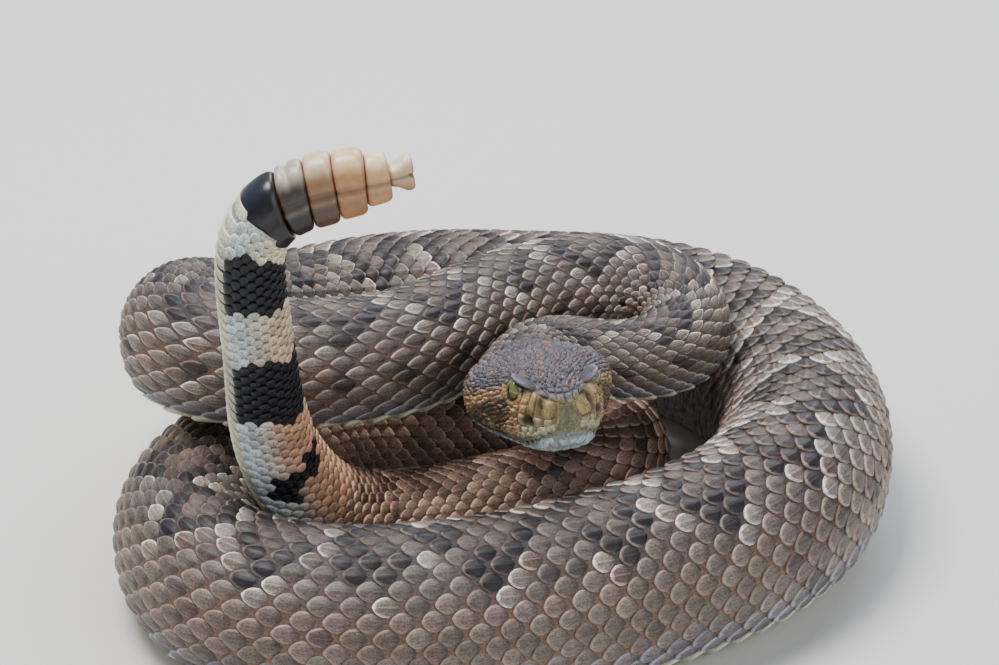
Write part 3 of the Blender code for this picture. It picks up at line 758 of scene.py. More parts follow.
def head_colours(points):
    """The head's markings by place: crown, face, cheek stripes and patch, lips and jaw, and painted shade in
    the pits and nostrils.
    """
    behind, aside, above = head_coordinates(points)
    aside = np.abs(aside)

    def band(start, end, width):
        a, b = np.array(start), np.array(end)
        p = np.stack([behind, above], -1)
        along = np.clip(((p - a) @ (b - a)) / np.dot(b - a, b - a), 0.0, 1.0)
        gap = np.linalg.norm(p - a - along[:, None] * (b - a), axis=-1)
        return np.clip(1.5 - gap / width, 0.0, 1.0)

    def hole(at, radii, lean):
        back, up = behind - at[0], above - at[2]
        far = ((back - lean * up) / radii[0]) ** 2 + (up / radii[1]) ** 2
        return np.exp(-far ** 2) * smooth_step(at[1] - 3.5, at[1] - 2.0, aside)

    crown_edge = 4.3 + 0.26 * aside
    flank = smooth_step(5.0, 8.0, aside)
    cheek = hump(10.5, 13.5, 25.0, 30.0, behind) * (1.0 - smooth_step(3.0, 5.5, above))
    mouth = np.interp(behind, MOUTH_AT, MOUTH_HEIGHT)
    colour = FACE
    for marking, share in (
            (LIP_PALE, 0.6 * smooth_step(2.0, -3.0, above) * (1.0 - smooth_step(9.0, 13.0, behind))),
            (CROWN, smooth_step(crown_edge, crown_edge + 1.4, above)),
            (CROWN, smooth_step(12.0, 17.0, behind) * smooth_step(-2.0, 3.0, above)),
            (CHEEK_PATCH, cheek * flank * 0.9),
            (CHEEK_STRIPE, band((7.4, 5.5), (12.2, -8.5), 2.1) * flank),
            (CHEEK_STRIPE, band((14.5, 5.5), (27.0, -2.0), 1.3) * flank),
            # Painted shade in the hollows of the pit and the nostril.
            (PIT_SHADE, hole(PIT, (2.0, 1.6), 0.0)),
            (PIT_SHADE, 0.95 * hole(NOSTRIL, (0.9, 2.8), 0.4)),
            (JAW_PALE, 1.0 - smooth_step(mouth - 0.8, mouth + 0.1, above))):
        colour = mix(colour, marking, share)
    return colour


def crown_size(s):
    return np.interp(s, (0.0, 8.0, 14.0, 24.0, 34.0, 44.0), (1.5, 1.3, 1.35, 1.5, 1.9, 2.4))


def chin_size(s):
    return np.interp(s, (3.0, 20.0, 40.0), (2.8, 3.2, 3.6))


def along_section(s, low, high, spacing, offset):
    """Angles round the head at one distance, the same length apart along its surface."""
    angles = np.linspace(low, high, 240)
    lengths = lengths_along(surface(s, angles)[0])
    wanted = lengths[-1] / 2.0 + (np.arange(-60, 61) + offset) * spacing
    wanted = wanted[(wanted > 0.2 * spacing) & (wanted < lengths[-1] - 0.2 * spacing)]
    return np.interp(wanted, lengths, angles)


def head_rows(s, end, size_at, step, margin):
    """Centres of small scales in offset rows, a margin above the mouth line, or below it where negative."""
    places, angles = [], []
    while s < end:
        size = float(size_at(s))
        edge = BELLY_EDGE
        if s < JAW_END:
            width = float(sections(np.array([s]))[0][0])
            edge = float(mouth_angle(np.array([s]))[0]) - margin / max(width, 5.0)
        low, high = (-edge, edge) if margin > 0.0 else (edge, 2.0 * math.pi - edge)
        angles.append(along_section(s, low, high, size, 0.5 * (len(places) % 2)))
        places.append(np.full(len(angles[-1]), s))
        s += size * step
    return np.concatenate(places), np.concatenate(angles)


def clear_of_face(points):
    """True where a small scale doesn't meet an eye, a pit, a brow plate or the plates of the snout."""
    behind, aside, above = head_coordinates(points)
    aside = np.abs(aside)
    eye = np.sqrt((behind - EYE[0]) ** 2 + (aside - EYE[1] - 1.5) ** 2 + (above - EYE[2]) ** 2)
    turned_along = (behind - BROW_AT[0]) * math.cos(BROW_YAW) + (aside - BROW_AT[1]) * math.sin(BROW_YAW)
    turned_across = (aside - BROW_AT[1]) * math.cos(BROW_YAW) - (behind - BROW_AT[0]) * math.sin(BROW_YAW)
    brow = (np.abs(turned_along) < 3.6) & (np.abs(turned_across) < 1.9) & (above > 5.0)
    snout = (behind < 5.0) | ((behind < 9.2) & (above < 7.4) & (above > -5.0))
    pit = np.hypot(behind - PIT[0], above - PIT[2]) < 2.2
    return (eye > 4.4) & ~brow & ~snout & ~pit


def head_scales(finish):
    """Small keeled scales over the crown and cheeks, clear of the eyes, pits, plates and lips."""
    s, angle = head_rows(3.4, COAT_START + 1.0, crown_size, 0.62, 3.0)
    size = crown_size(s) * RANDOM.uniform(0.86, 1.14, len(s))
    girth = surface(s, angle)[2]
    s = s + 0.26 * size * RANDOM.uniform(-1.0, 1.0, len(s))
    angle = angle + 0.26 * size / girth * RANDOM.uniform(-1.0, 1.0, len(s))
    points = surface(s, angle)[0]
    keep = clear_of_face(points)
    s, angle, size, points = s[keep], angle[keep], size[keep], points[keep]
    crown = smooth_step(3.0, 6.0, head_coordinates(points)[2])
    colour = mix(head_colours(points), CROWN_BLUE, 0.6 * crown * RANDOM.uniform(0.0, 1.0, len(s)))
    colour = mix(colour, CROWN_ORANGE, 0.75 * RANDOM.uniform(0.0, 1.0, len(s)) ** 3)
    colour = colour * RANDOM.uniform(0.55, 1.3, (len(s), 1))
    turn = RANDOM.uniform(-0.3, 0.3, len(s))
    shapes = scale_points(GRAIN, s, angle, size * 1.22, size * 0.98, CROWN_FORM, turn)
    rim = mix(colour, CROWN_RIM, 0.25 + 0.4 * crown)
    place = (0.02 + 0.96 * s / 44.0, 0.02 + 0.96 * (angle + math.pi) / (2.0 * math.pi))
    add_scales("crown_scales", GRAIN, shapes, colour, rim, place, (0.015, 0.012), finish)


def chin_scales(finish):
    """Smooth scales under the jaw and throat."""
    s, angle = head_rows(3.0, COAT_START + 2.0, chin_size, 0.6, -3.3)
    size = chin_size(s)
    colour = JAW_PALE * RANDOM.uniform(0.85, 1.1, (len(s), 1))
    turn = RANDOM.uniform(-0.1, 0.1, len(s))
    shapes = scale_points(GRAIN, s, angle, size * 1.3, size * 1.04, CHIN_FORM, turn)
    place = (0.02 + 0.96 * s / 46.0, 0.02 + 0.96 * angle / (2.0 * math.pi))
    add_scales("chin_scales", GRAIN, shapes, colour, colour * 1.15, place, (0.03, 0.02), finish)


def head_point(behind, aside, above):
    return HEAD_CENTRE - FORWARD * behind + HEAD_SIDE * aside + HEAD_UP * above


# Corners of the plates round the snout, as distance round it from the middle and height, in mm, and of
# the plates on top of it, as distance behind the tip, to the side and above.
ROSTRAL_CORNERS = ((-0.7, 4.6), (0.7, 4.6), (2.6, -3.3), (-2.6, -3.3))
MENTAL_CORNERS = ((-2.5, -4.8), (2.5, -4.8), (0.5, -8.4), (-0.5, -8.4))
SIDE_PLATES = (
    ((1.0, 5.6), (6.3, 8.2), (6.5, 0.9), (2.4, 0.4)),
    ((8.0, 8.8), (11.9, 9.4), (12.1, 2.2), (8.0, 1.1)),
    ((12.2, 9.4), (15.4, 9.2), (15.5, 3.8), (12.4, 3.6)),
    ((12.6, 3.3), (15.5, 3.5), (15.7, 1.1), (13.2, 1.1)),
    ((2.6, 0.3), (5.2, 0.7), (5.4, -1.3), (2.9, -1.3)),
    ((5.4, 0.7), (9.2, 0.9), (9.0, -1.9), (5.6, -1.4)),
    ((8.4, -2.1), (11.9, -2.9), (11.9, -4.6), (8.2, -4.0)),
    ((13.3, 0.8), (16.2, 0.8), (16.2, -2.4), (13.3, -2.4)),
    ((12.2, -2.8), (15.2, -2.8), (15.0, -4.9), (12.1, -4.7)),
    ((15.6, -2.7), (17.8, -2.8), (17.8, -5.2), (15.4, -4.9)),
    ((2.7, -4.9), (5.2, -5.2), (2.9, -8.8), (0.7, -8.5)),
)
TOP_PLATES = (
    ((-1.0, 0.05, 5.0), (-0.4, 2.2, 5.6), (2.4, 2.5, 8.0), (2.2, 0.05, 8.0)),
    ((-0.2, 2.4, 5.8), (0.8, 4.8, 7.0), (3.2, 4.9, 8.6), (2.5, 2.6, 8.2)),
    ((2.3, 0.05, 8.2), (2.6, 2.0, 8.2), (4.2, 2.1, 9.0), (4.0, 0.05, 9.0)),
    ((2.7, 2.2, 8.4), (3.5, 4.2, 8.8), (5.2, 4.3, 9.4), (4.4, 2.3, 9.2)),
    ((1.2, 5.0, 7.4), (2.4, 6.9, 8.2), (5.4, 7.6, 9.4), (4.6, 5.1, 9.2)),
)


def plate_points(place_at):
    """A plate's points; place_at gives the one on top and the one below for a station and a place across."""
    pairs = [[place_at(i, over) for over in PLATE["over"]] for i in range(len(PLATE["along"]))]
    tops = [top for row in pairs for top, _ in row]
    return np.array(tops + [row[k][1] for row in pairs for k in (0, -1)])


def plate_ends(i):
    """How a plate's dome falls off towards its ends."""
    return math.sin(math.pi * min(max(PLATE["along"][i], 0.05), 0.95)) ** 0.5


class Plates:
    """Plates laid on the head: each is drawn flat, then pressed onto the skin."""

    def __init__(self, tree):
        self.tree = tree
        self.points = []
        self.middles = []
        self.rims = []

    def press(self, point, lift):
        """The places on the skin under a point, one lifted off it and one sunk in."""
        place, normal, _, _ = self.tree.find_nearest(Vector(point * MM))
        place, normal = np.array(place) / MM, np.array(normal)
        return place + normal * lift, place - normal * PLATE_SINK

    def outward(self, point):
        return np.array(self.tree.find_nearest(Vector(point * MM))[1])

    def keep(self, points, middle, rim):
        self.points.append(points)
        self.middles.append(np.broadcast_to(middle, points.shape))
        self.rims.append(np.broadcast_to(rim, points.shape))

    def pair(self, at, toward, length, width, colour, rim, dome=0.35, rise=0.12):
        """A plate on each side of the head, centred at a place and lengthwise towards another."""
        for side in (-1.0, 1.0):
            centre, ahead = [head_point(behind, aside * side, above) for behind, aside, above in (at, toward)]
            out = self.outward(centre)
            forward = ahead - centre
            forward = unit(forward - out * (forward @ out))
            cross = np.cross(out, forward)

            def place_at(i, over):
                half = width / 2.0 * PLATE["outline"][i]
                flat = centre + forward * ((PLATE["along"][i] - 0.5) * length) + cross * over * half
                return self.press(flat, rise + dome * (1.0 - abs(over) ** 2.4) * plate_ends(i))

            self.keep(plate_points(place_at), colour, rim)

    def quad(self, corners, tint=None, edge=None, dome=0.32, rise=0.12):
        """A plate between four corners on the head, round-cornered, in the markings' colours or a tint."""
        corners = np.array([head_point(*corner) for corner in corners])
        out = self.outward(corners.mean(axis=0))
        if np.dot(np.cross(corners[1] - corners[0], corners[3] - corners[0]), out) < 0.0:
            corners = corners[[0, 3, 2, 1]]

        def place_at(i, y):
            x = 2.0 * PLATE["along"][i] - 1.0
            pulled = PLATE_INSET * max(abs(x), abs(y), 1e-6) / (abs(x) ** 5.0 + abs(y) ** 5.0 + 1e-30) ** 0.2
            u, v = x * pulled, y * pulled
            weights = [(1 - u) * (1 - v), (1 + u) * (1 - v), (1 + u) * (1 + v), (1 - u) * (1 + v)]
            flat = np.array(weights) / 4.0 @ corners
            return self.press(flat, rise + dome * (1.0 - abs(x) ** 3) * (1.0 - abs(y) ** 3))

        points = plate_points(place_at)
        colours = head_colours(points) if tint is None else np.tile(tint, (len(points), 1))
        self.keep(points, colours * RANDOM.uniform(0.88, 1.06), colours * 1.2 if edge is None else edge)

    def quads(self, corners):
        """The same plate on both sides of the head."""
        for side in (-1.0, 1.0):
            self.quad([(b, a * side, h) for b, a, h in corners])

    def finish(self, name, finish, slot_name):
        columns = math.ceil(math.sqrt(len(self.points)))
        number = np.arange(len(self.points))
        place = ((number % columns + 0.5) / columns, (number // columns + 0.5) / columns)
        add_scales(name, PLATE, np.array(self.points), np.array(self.middles), np.array(self.rims), place,
                   (0.86 / columns, 0.86 / columns), finish)


def mouth_line():
    """Distances along the mouth line on one side, from under the snout's tip, and its places on the head."""
    s = np.concatenate([np.linspace(0.05, 1.0, 400), np.linspace(1.05, JAW_END - 1.0, 200)])
    s = s[mouth_angle(s) < math.pi - 1e-4]
    points = surface(s, mouth_angle(s))[0]
    return lengths_along(points), np.stack(head_coordinates(points), -1)


def lip_plates(tree, finish):
    """The rows of plates above and below the mouth line."""
    lengths, line = mouth_line()
    for title, up, height, at in (("upper_lip_plates", 1.0, 2.6, 3.1), ("lower_lip_plates", -1.0, 3.4, 5.2)):
        plates = Plates(tree)
        while at < lengths[-1] - 1.0:
            pitch = float(np.interp(at, (0.0, 8.0, 20.0, 34.0), (2.3, 2.5, 2.5, 2.0)))
            here = rows_at(at + pitch / 2.0, lengths, line)
            centre = here + np.array([0.0, 0.0, up * (height / 2.0 + 0.3)])
            outer = here + np.array([0.0, 0.0, up * 20.0])
            colour = head_colours(head_point(*centre)[None])[0]
            if up > 0.0:
                colour = colour * 0.6 + LIP_PALE * 0.4
            colour = colour * RANDOM.uniform(0.86, 1.08)
            plates.pair(centre, outer, height, pitch * 0.95, colour, colour * 1.15, dome=0.28)
            at += pitch
        plates.finish(title, finish, "lip_scales")


def face_plates(tree, finish):
    """The shield on the snout's tip, the plates of nose, pits and chin, and the scales round the eyes."""
    walk = np.stack(head_coordinates(surface(np.linspace(0.02, 18.0, 500), math.pi / 2.0)[0]), -1)
    walk[:, 1] = np.abs(walk[:, 1])
    gone = lengths_along(walk)

    def on_side(corners):
        behind, aside = [np.interp([abs(corner[0]) for corner in corners], gone, walk[:, k]) for k in (0, 1)]
        return [(back, math.copysign(out, round_by), above)
                for back, out, (round_by, above) in zip(behind, aside, corners)]

    plates = Plates(tree)
    plates.quad(on_side(ROSTRAL_CORNERS), tint=ROSTRAL, edge=PLATE_EDGE * 0.8, dome=0.5)
    plates.quad(on_side(MENTAL_CORNERS), dome=0.3)
    for corners in [on_side(given) for given in SIDE_PLATES] + list(TOP_PLATES):
        plates.quads(corners)
    plates.finish("face_plates", finish, "crown_scales")
    lids = Plates(tree)
    for turn in np.linspace(math.radians(-225.0), math.radians(20.0), 13):
        back, up = math.cos(turn), math.sin(turn)
        at = (EYE[0] - 0.2 + LID_REACH * back, EYE[1] + 2.4, EYE[2] - 0.3 + LID_REACH * up)
        ahead = (at[0] - 9.0 * up, at[1], at[2] + 9.0 * back)
        colour = head_colours(head_point(*at)[None])[0] * RANDOM.uniform(0.7, 1.0)
        lids.pair(at, ahead, 2.0, 1.4, colour, colour * 1.2, dome=0.5, rise=0.25)
    lids.finish("eyelid_scales", finish, "crown_scales")


def brow_plates(finish):
    """The large plate that hoods each eye: its inner side lies on the crown, its outer side stands over."""
    shapes = []
    for side in (-1.0, 1.0):
        def place_at(i, over):
            a = (PLATE["along"][i] - 0.5) * BROW_SIZE[0]
            b = over * BROW_OUTLINE[i] * BROW_SIZE[1] / 2.0
            behind = BROW_AT[0] + a * math.cos(BROW_YAW) - b * math.sin(BROW_YAW)
            aside = BROW_AT[1] + a * math.sin(BROW_YAW) + b * math.cos(BROW_YAW)
            outward = (BROW_RISE[1] - BROW_RISE[2] * side) * (aside - BROW_CORNER[1])
            height = BROW_CORNER[2] + BROW_RISE[0] * (behind - BROW_CORNER[0]) + outward
            bulge = BROW_SIZE[2] * (1.0 - abs(over) ** 2.6) * plate_ends(i)
            return [head_point(behind, side * aside, height + rise) for rise in (bulge, -2.0 * PLATE_SINK)]

        shapes.append(plate_points(place_at))
    place = (np.array([0.25, 0.75]), np.array([0.5, 0.5]))
    add_scales("brow_plates", PLATE, np.array(shapes), np.array([BROW_PLATE] * 2), np.array([BROW_EDGE] * 2),
               place, (0.4, 0.8), finish)


def build_eye(name, node, side, finish):
    """An eyeball with an upright slit pupil that looks out and forward."""
    gaze = unit(FORWARD * 0.34 + HEAD_SIDE * side * 0.93 + HEAD_UP * 0.1)
    up = unit(HEAD_UP - gaze * (HEAD_UP @ gaze))
    right = np.cross(gaze, up)
    rings, around = 39, 64
    tilt = np.linspace(0.0, math.pi, rings + 2)[1:-1, None]
    turn = np.linspace(0.0, 2.0 * math.pi, around, endpoint=False)
    x, y, z = [np.concatenate([[first], np.broadcast_to(grid, (rings, around)).ravel(), [last]])
               for first, grid, last in ((0.0, np.sin(tilt) * np.cos(turn), 0.0),
                                         (0.0, np.sin(tilt) * np.sin(turn), 0.0), (1.0, np.cos(tilt), -1.0))]
    points = head_point(EYE[0], side * EYE[1], EYE[2]) + EYE_RADIUS * (
        x[:, None] * right + y[:, None] * up + z[:, None] * gaze)
    base, last = 1 + (rings - 1) * around, 1 + rings * around
    triangles = [(0, 1 + k, 1 + (k + 1) % around) for k in range(around)]
    triangles += [(last, base + (k + 1) % around, base + k) for k in range(around)]
    local = np.stack([x, y, z], -1) * 0.5 + 0.5
    patches = np.stack([x, y], -1) * 0.48 + 0.5
    made = add_mesh(name, points, [np.array(triangles), np.array(closed_rings(rings, around, 1))],
                    {"Place": local}, patches, finish)
    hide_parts(node)


def build_rattle(finish):
    """Nested horn segments, each parted into two lobes by a groove, and the forked end button."""
    around, stations = 80, 26
    turn = np.linspace(0.0, 2.0 * math.pi, around, endpoint=False)
    along = np.linspace(0.0, 1.0, stations)
    flat, level = squared_off(np.sin(turn), RATTLE_SQUARENESS), squared_off(np.cos(turn), RATTLE_SQUARENESS)
    share, level, turn = np.broadcast_arrays(along[:, None], level, turn)
    parting = np.exp(-((level - RATTLE_PARTING) / 0.11) ** 2)
    size = 0.66 + 0.34 * (1.0 - np.abs(2.0 * along - 1.0) ** 5.0) ** 0.45
    size[0] = size[-1] = 0.02
    points, tints, quads, fans, patches = [], [], [], [], []
    count = len(RATTLE_HALF_HEIGHT)
    for n in range(count):
        start, end = [RATTLE_START + RATTLE_GROOVES[k] - RATTLE_TILT[k] * level for k in (n, n + 1)]
        s = np.clip(start + (end - start) * (share * 1.06 - 0.03), None, ROUTE.length - 0.05)
        place, side, up, _ = ROUTE.frames(s)
        depth = RATTLE_PARTING_DEPTH[n]
        if n == count - 1:
            height = RATTLE_HALF_HEIGHT[n] * (0.66 + 0.46 * smooth_step(0.15, 0.8, along))
            depth = depth * (0.4 + 1.2 * share)
            place = ROUTE.frames(s - 1.5 * smooth_step(0.6, 1.0, share) * parting)[0]
        else:
            height = RATTLE_HALF_HEIGHT[n] * (1.0 - 0.3 * along) + RATTLE_HALF_HEIGHT[n + 1] * 0.3 * along
        height = (height * size)[:, None]
        if n == 1:
            height = height * (1.0 - 0.12 * np.exp(-((share - 0.4) / 0.1) ** 2) * (level < 0.0))
        thick = (RATTLE_HALF_THICKNESS[n] * size)[:, None] * (1.0 - depth * parting)
        ring = place + side * (thick * flat)[..., None] + up * (height * level)[..., None]
        base = n * stations * around
        points.append(ring.reshape(-1, 3))
        tints.append(rattle_colours(n, share.ravel(), level.ravel()))
        u = (n + 0.05 + 0.9 * share.ravel()) / count
        patches.append(np.stack([u, turn.ravel() / (2.0 * math.pi)], -1))
        quads += closed_rings(stations, around, base)
        fans.append(range(base, base + around))
        fans.append(range(base + stations * around - 1, base + (stations - 1) * around - 1, -1))
    made = add_mesh("rattle_horn", np.concatenate(points), [np.array(quads), np.array(fans)],
                    {"Tint": np.concatenate(tints)}, np.concatenate(patches), finish)
    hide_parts("rattle")


def rattle_colours(n, along, level):
    """Horn colours of segment n by place along it and level from its upper edge (-1) to its lower (1)."""
    top, middle, bottom = RATTLE_TONES[n]
    colour = mix(top, middle, smooth_step(-0.95, -0.45, level))
    colour = mix(colour, bottom, smooth_step(RATTLE_PARTING - 0.25, RATTLE_PARTING + 0.02, level))
    if n > 0:
        # A paler line along the lower lobe's upper edge, just below the parting: painted highlight.
        colour = mix(colour, top, 0.3 * np.exp(-((level - RATTLE_PARTING - 0.16) / 0.1) ** 2))
    parting = np.exp(-((level - RATTLE_PARTING) / 0.06) ** 2) * (0.6 if n > 1 else 0.3)
    ends = np.abs(2.0 * along - 1.0) ** 7
    if n == len(RATTLE_TONES) - 1:
        ends = 0.7 * smooth_step(0.86, 1.0, along)
    return mix(colour, RATTLE_GROOVE * (0.2 if n < 2 else 1.0), np.clip(parting + ends, 0.0, 1.0))


def build_skin(finish):
    """One skin from the snout to the rattle."""
    around = 176
    s = np.concatenate([[0.02, 0.12, 0.3, 0.55, 0.85], np.arange(1.2, HEAD_END, 0.36),
                        np.arange(HEAD_END + 0.4, RATTLE_START - MATRIX_LENGTH + 4.5, 3.1)])
    rings = len(s)
    angle = np.linspace(-math.pi, math.pi, around, endpoint=False)
    s, angle = [grid.ravel() for grid in np.meshgrid(s, angle, indexing="ij")]
    points = surface(s, angle)[0]
    colours = skin_colours(s, angle)
    on_head = s < HEAD_END
    share = smooth_step(*HEAD_FADE, s[on_head])
    # On the head the skin between the scales takes the markings at half brightness: painted shade in the gaps
    # between the small scales.
    colours[on_head] = mix(head_colours(points[on_head]) * 0.5, colours[on_head], share)
    mapped = np.where(on_head, s / HEAD_END * 0.4, 0.4 + 0.58 * (s - HEAD_END) / (ROUTE.length - HEAD_END))
    patches = np.stack([0.01 + mapped, 0.01 + 0.98 * (angle + math.pi) / (2.0 * math.pi)], -1)
    quads, fans = closed_rings(rings, around), []
    base, tip = (rings - 1) * around, len(points)
    for k in range(around):
        following = (k + 1) % around
        fans.append((tip, k, following))
        fans.append((tip + 1, base + following, base + k))
    points = np.vstack([points, points[:around].mean(axis=0), points[-around:].mean(axis=0)])
    colours = np.vstack([colours, colours[0], colours[-1]])
    patches = np.vstack([patches, patches[0], patches[-1]])
    made = add_mesh("snake_skin", points, [np.array(quads), np.array(fans)], {"Tint": colours}, patches,
                    finish)
    nodes = ["head", "lower_jaw", "neck", "tail_base", "tail_tip"] + ["body_%02d" % n for n in range(1, 16)]
    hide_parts(*nodes)
    return BVHTree.FromPolygons([Vector(point * MM) for point in points], quads + fans)


class Finish:
    """A node material under construction."""

    def __init__(self, name, roughness):
        self.material = bpy.data.materials.new(name)
        self.material.use_nodes = True
        self.nodes = self.material.node_tree.nodes
        self.links = self.material.node_tree.links
        self.shader = self.nodes["Principled BSDF"]
        self.set("Roughness", roughness)

    def set(self, label, value):
        self.shader.inputs[label].default_value = value

    def feed(self, socket, value):
        if isinstance(value, bpy.types.NodeSocket):
            self.links.new(value, socket)
        else:
            socket.default_value = value

    def node(self, kind, output, inputs, **settings):
        """A new node of a kind with its settings and inputs; gives the named output."""
        made = self.nodes.new("ShaderNode" + kind)
        for label, value in settings.items():
            setattr(made, label, value)
        for label, value in inputs.items():
            self.feed(made.inputs[label], value)
        return made.outputs[output]

    def attribute(self, name):
        return self.node("VertexColor", "Color", {}, layer_name=name)

    def object_place(self):
        return self.node("TexCoord", "Object", {})

    def split(self, colour):
        node = self.node("SeparateColor", "Red", {"Color": colour}).node
        return [node.outputs[label] for label in ("Red", "Green", "Blue")]

    def math(self, operation, first, second=0.0, third=0.0):
        return self.node("Math", "Value", {0: first, 1: second, 2: third}, operation=operation)

    def times(self, first, second):
        return self.math("MULTIPLY", first, second)

    def plus(self, first, second):
        return self.math("ADD", first, second)

    def powered(self, value, power):
        return self.math("POWER", value, power)

    def centred(self, value):
        """From 0 to 1 becomes from -1 to 1."""
        return self.math("MULTIPLY_ADD", value, 2.0, -1.0)

    def ramp(self, value, low, high, out_low=0.0, out_high=1.0):
        ends = {"Value": value, "From Min": low, "From Max": high, "To Min": out_low, "To Max": out_high}
        return self.node("MapRange", "Result", ends, interpolation_type="SMOOTHSTEP")

    def combine(self, x, y, z):
        return self.node("CombineXYZ", "Vector", {0: x, 1: y, 2: z})

    def noise(self, vector, scale, detail=3.0, roughness=0.55):
        return self.node("TexNoise", "Fac", {"Vector": vector, "Scale": scale, "Detail": detail,
                                             "Roughness": roughness})

    def blend(self, share, first, second):
        return self.node("Mix", "Result", {"Factor": share, "A": first, "B": second}, data_type="RGBA")

    def scaled(self, colour, factor):
        return self.node("VectorMath", "Vector", {0: colour, "Scale": factor}, operation="SCALE")

    def bump(self, height, distance, strength):
        given = {"Strength": strength, "Distance": distance, "Height": height}
        self.links.new(self.node("Bump", "Normal", given), self.shader.inputs["Normal"])

    def colour(self, value):
        self.links.new(value, self.shader.inputs["Base Color"])


def skin_finish():
    made = Finish("bare_skin", 0.62)
    fine = made.noise(made.object_place(), 1500.0)
    made.colour(made.scaled(made.attribute("Tint"), made.ramp(fine, 0.3, 0.7, 0.6, 1.25)))
    made.bump(fine, 0.0003, 0.6)
    return made.material


def scale_finish(name, roughness, rim_start, rim_width, streak, grain, tip_share):
    """Scales with a pale rim that widens at the tip, a granular middle, and fine streaks along the keel."""
    made = Finish(name, roughness)
    along, over, chance = made.split(made.attribute("Place"))
    side = made.math("ABSOLUTE", made.centred(over))
    end = made.math("ABSOLUTE", made.centred(along))
    edge = made.math("MAXIMUM", side, made.powered(end, 1.6))
    seed = made.times(chance, 37.0)
    streaks = made.noise(made.combine(made.times(over, 9.0), made.times(along, 1.6), seed), 2.0)
    grains = made.noise(made.object_place(), 1900.0, 4.0)
    wavy = made.plus(edge, made.math("MULTIPLY_ADD", streaks, 0.4, -0.2))
    wavy = made.plus(wavy, made.math("MULTIPLY_ADD", along, tip_share, -0.62 * tip_share))
    share = made.ramp(wavy, rim_start, rim_start + rim_width)
    cloud = made.times(made.ramp(grains, 0.34, 0.66, 1.0 - grain, 1.0 + 0.65 * grain),
                       made.ramp(edge, 0.0, 0.7, 0.74, 1.08))
    cloud = made.times(cloud, made.ramp(streaks, 0.36, 0.64, 0.8, 1.12))
    middle = made.scaled(made.attribute("Tint"), cloud)
    rim = made.scaled(made.attribute("Rim"), made.ramp(streaks, 0.3, 0.7, 0.82, 1.15))
    keel = made.ramp(side, 0.0, 0.16, streak, 0.0)
    colour = made.blend(made.math("MAXIMUM", share, keel), middle, rim)
    # Each scale darker towards its root: painted shade where it runs under the scale before it, and partly
    # the scales' own browner roots.
    made.colour(made.scaled(colour, made.ramp(along, 0.02, 0.5, 0.4, 1.06)))
    made.bump(made.math("MULTIPLY_ADD", grains, 0.6, made.times(streaks, 0.4)), 0.00022, 0.7)
    made.set("Specular IOR Level", 0.36)
    return made.material


def eye_finish():
    """Yellow-green iris with fine radial flecks, a dark slit pupil and a wet gloss."""
    made = Finish("snake_eye", 0.06)
    x, y, _ = made.split(made.attribute("Place"))
    wide, tall = made.centred(x), made.centred(y)
    slit = made.plus(*[made.powered(made.math("ABSOLUTE", made.math("DIVIDE", value, half)), power)
                       for value, half, power in ((wide, 0.13, 1.4), (tall, 0.66, 2.2))])
    radius = made.math("SQRT", made.plus(made.times(wide, wide), made.times(tall, tall)))
    flecks = made.noise(made.combine(wide, tall, 0.0), 14.0, 5.0, 0.7)
    dark, light, edge, pupil = [tuple(shade) + (1.0,) for shade in (IRIS_DARK, IRIS_LIGHT, IRIS_EDGE, PUPIL)]
    iris = made.blend(made.ramp(flecks, 0.35, 0.65), dark, light)
    iris = made.blend(made.ramp(radius, 0.72, 0.95), iris, edge)
    made.colour(made.blend(made.ramp(slit, 0.8, 1.1), pupil, iris))
    made.set("Coat Weight", 1.0)
    made.set("Coat Roughness", 0.02)
    return made.material


def horn_finish():
    made = Finish("rattle_keratin", 0.32)
    place = made.object_place()
    cloud = made.noise(place, 260.0, 4.0)
    fine = made.noise(place, 2200.0)
    made.colour(made.scaled(made.attribute("Tint"), made.ramp(cloud, 0.3, 0.7, 0.82, 1.12)))
    made.bump(made.math("MULTIPLY_ADD", fine, 0.3, cloud), 0.0002, 0.6)
    made.set("Subsurface Weight", 0.15)
    made.set("Subsurface Scale", 0.002)
    made.set("Coat Weight", 0.12)
    made.set("Coat Roughness", 0.3)
    return made.material


# The studio, in metres: the floor's half side, each light's place, size, watts and colour, and the camera.
FLOOR_REACH = 3.0
LIGHTS = {
    "key_light": ((-0.3, 0.05, 1.05), 0.5, 17.0, (1.0, 0.98, 0.96)),
    "fill_light": ((0.8, -0.9, 0.6), 1.0, 6.0, (0.9, 0.95, 1.0)),
    "back_light": ((0.3, 0.9, 0.8), 0.8, 10.0, (0.86, 0.93, 1.0)),
}
CAMERA_ELEVATION = math.radians(30.0)
CAMERA_DISTANCE = 1.25


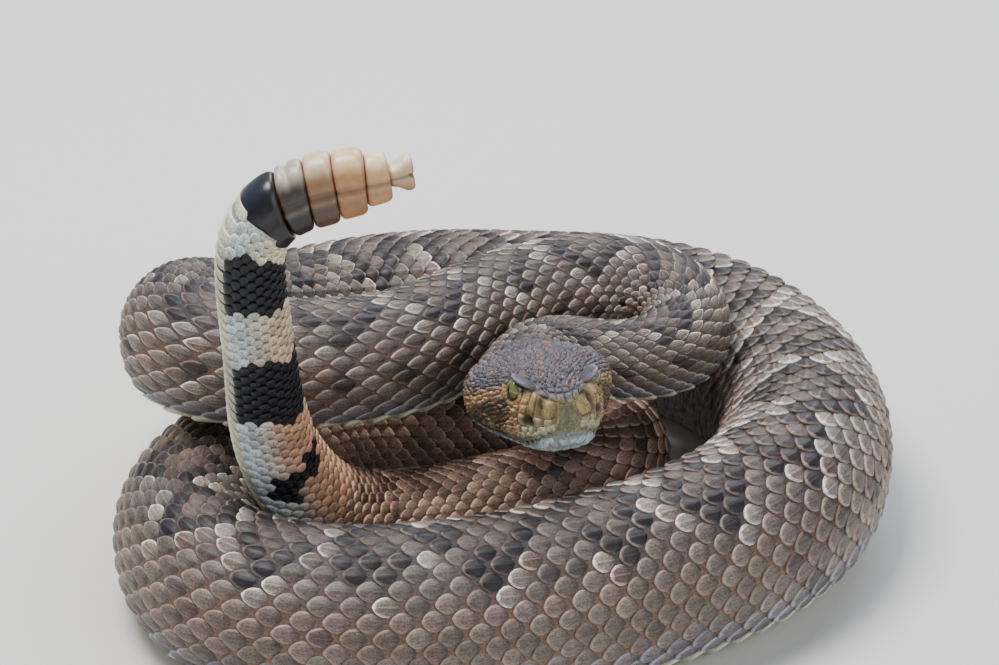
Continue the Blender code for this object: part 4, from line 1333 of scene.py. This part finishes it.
def build_stage():
    """A pale floor, soft lights and the photo's camera."""
    mesh = bpy.data.meshes.new("studio_floor")
    corners = [(x * FLOOR_REACH, y * FLOOR_REACH, 0.0) for x, y in ((-1, -1), (1, -1), (1, 1), (-1, 1))]
    mesh.from_pydata(corners, [], [(0, 1, 2, 3)])
    floor = place_in_scene("studio_floor", mesh)
    finish = Finish("pale_floor", 0.8)
    finish.set("Base Color", (0.72, 0.71, 0.69, 1.0))
    mesh.materials.append(finish.material)
    world = bpy.data.worlds.new("studio_light")
    bpy.context.scene.world = world
    world.use_nodes = True
    sky = world.node_tree.nodes["Background"].inputs
    sky["Color"].default_value = (0.86, 0.9, 1.0, 1.0)
    sky["Strength"].default_value = 0.4
    for name, (place, size, power, colour) in LIGHTS.items():
        data = bpy.data.lights.new(name, "AREA")
        data.size = size
        data.energy = power
        data.color = colour
        light = place_in_scene(name, data)
        light.location = place
        light.rotation_euler = (Vector((0.0, 0.0, 0.04)) - Vector(place)).to_track_quat("-Z", "Y").to_euler()
    data = bpy.data.cameras.new("photo_camera")
    data.sensor_width = 36.0
    data.lens = 151.0
    camera = place_in_scene("photo_camera", data)
    target = Vector((-COIL_CENTRE[0] * MM, -COIL_CENTRE[1] * MM, 0.035))
    away = Vector((0.0, -math.cos(CAMERA_ELEVATION), math.sin(CAMERA_ELEVATION)))
    camera.location = target + away * CAMERA_DISTANCE
    camera.rotation_euler = (math.pi / 2.0 - CAMERA_ELEVATION, 0.0, 0.0)
    bpy.context.scene.camera = camera


COAT_FINISH = scale_finish("keeled_scales", 0.46, 0.64, 0.4, 0.18, 0.38, 0.6)
HEAD_FINISH = scale_finish("head_scales", 0.46, 0.6, 0.3, 0.1, 0.5, 0.3)
PLATE_FINISH = scale_finish("smooth_plates", 0.4, 0.84, 0.24, 0.0, 0.3, 0.1)
build_stage()
SKIN_TREE = build_skin(skin_finish())
body_coat(COAT_FINISH)
belly_scutes(COAT_FINISH)
head_scales(HEAD_FINISH)
chin_scales(PLATE_FINISH)
lip_plates(SKIN_TREE, PLATE_FINISH)
face_plates(SKIN_TREE, PLATE_FINISH)
brow_plates(HEAD_FINISH)
EYE_FINISH = eye_finish()
build_eye("snake_eye_left", "eye_left", -1.0, EYE_FINISH)
build_eye("snake_eye_right", "eye_right", 1.0, EYE_FINISH)
build_rattle(horn_finish())
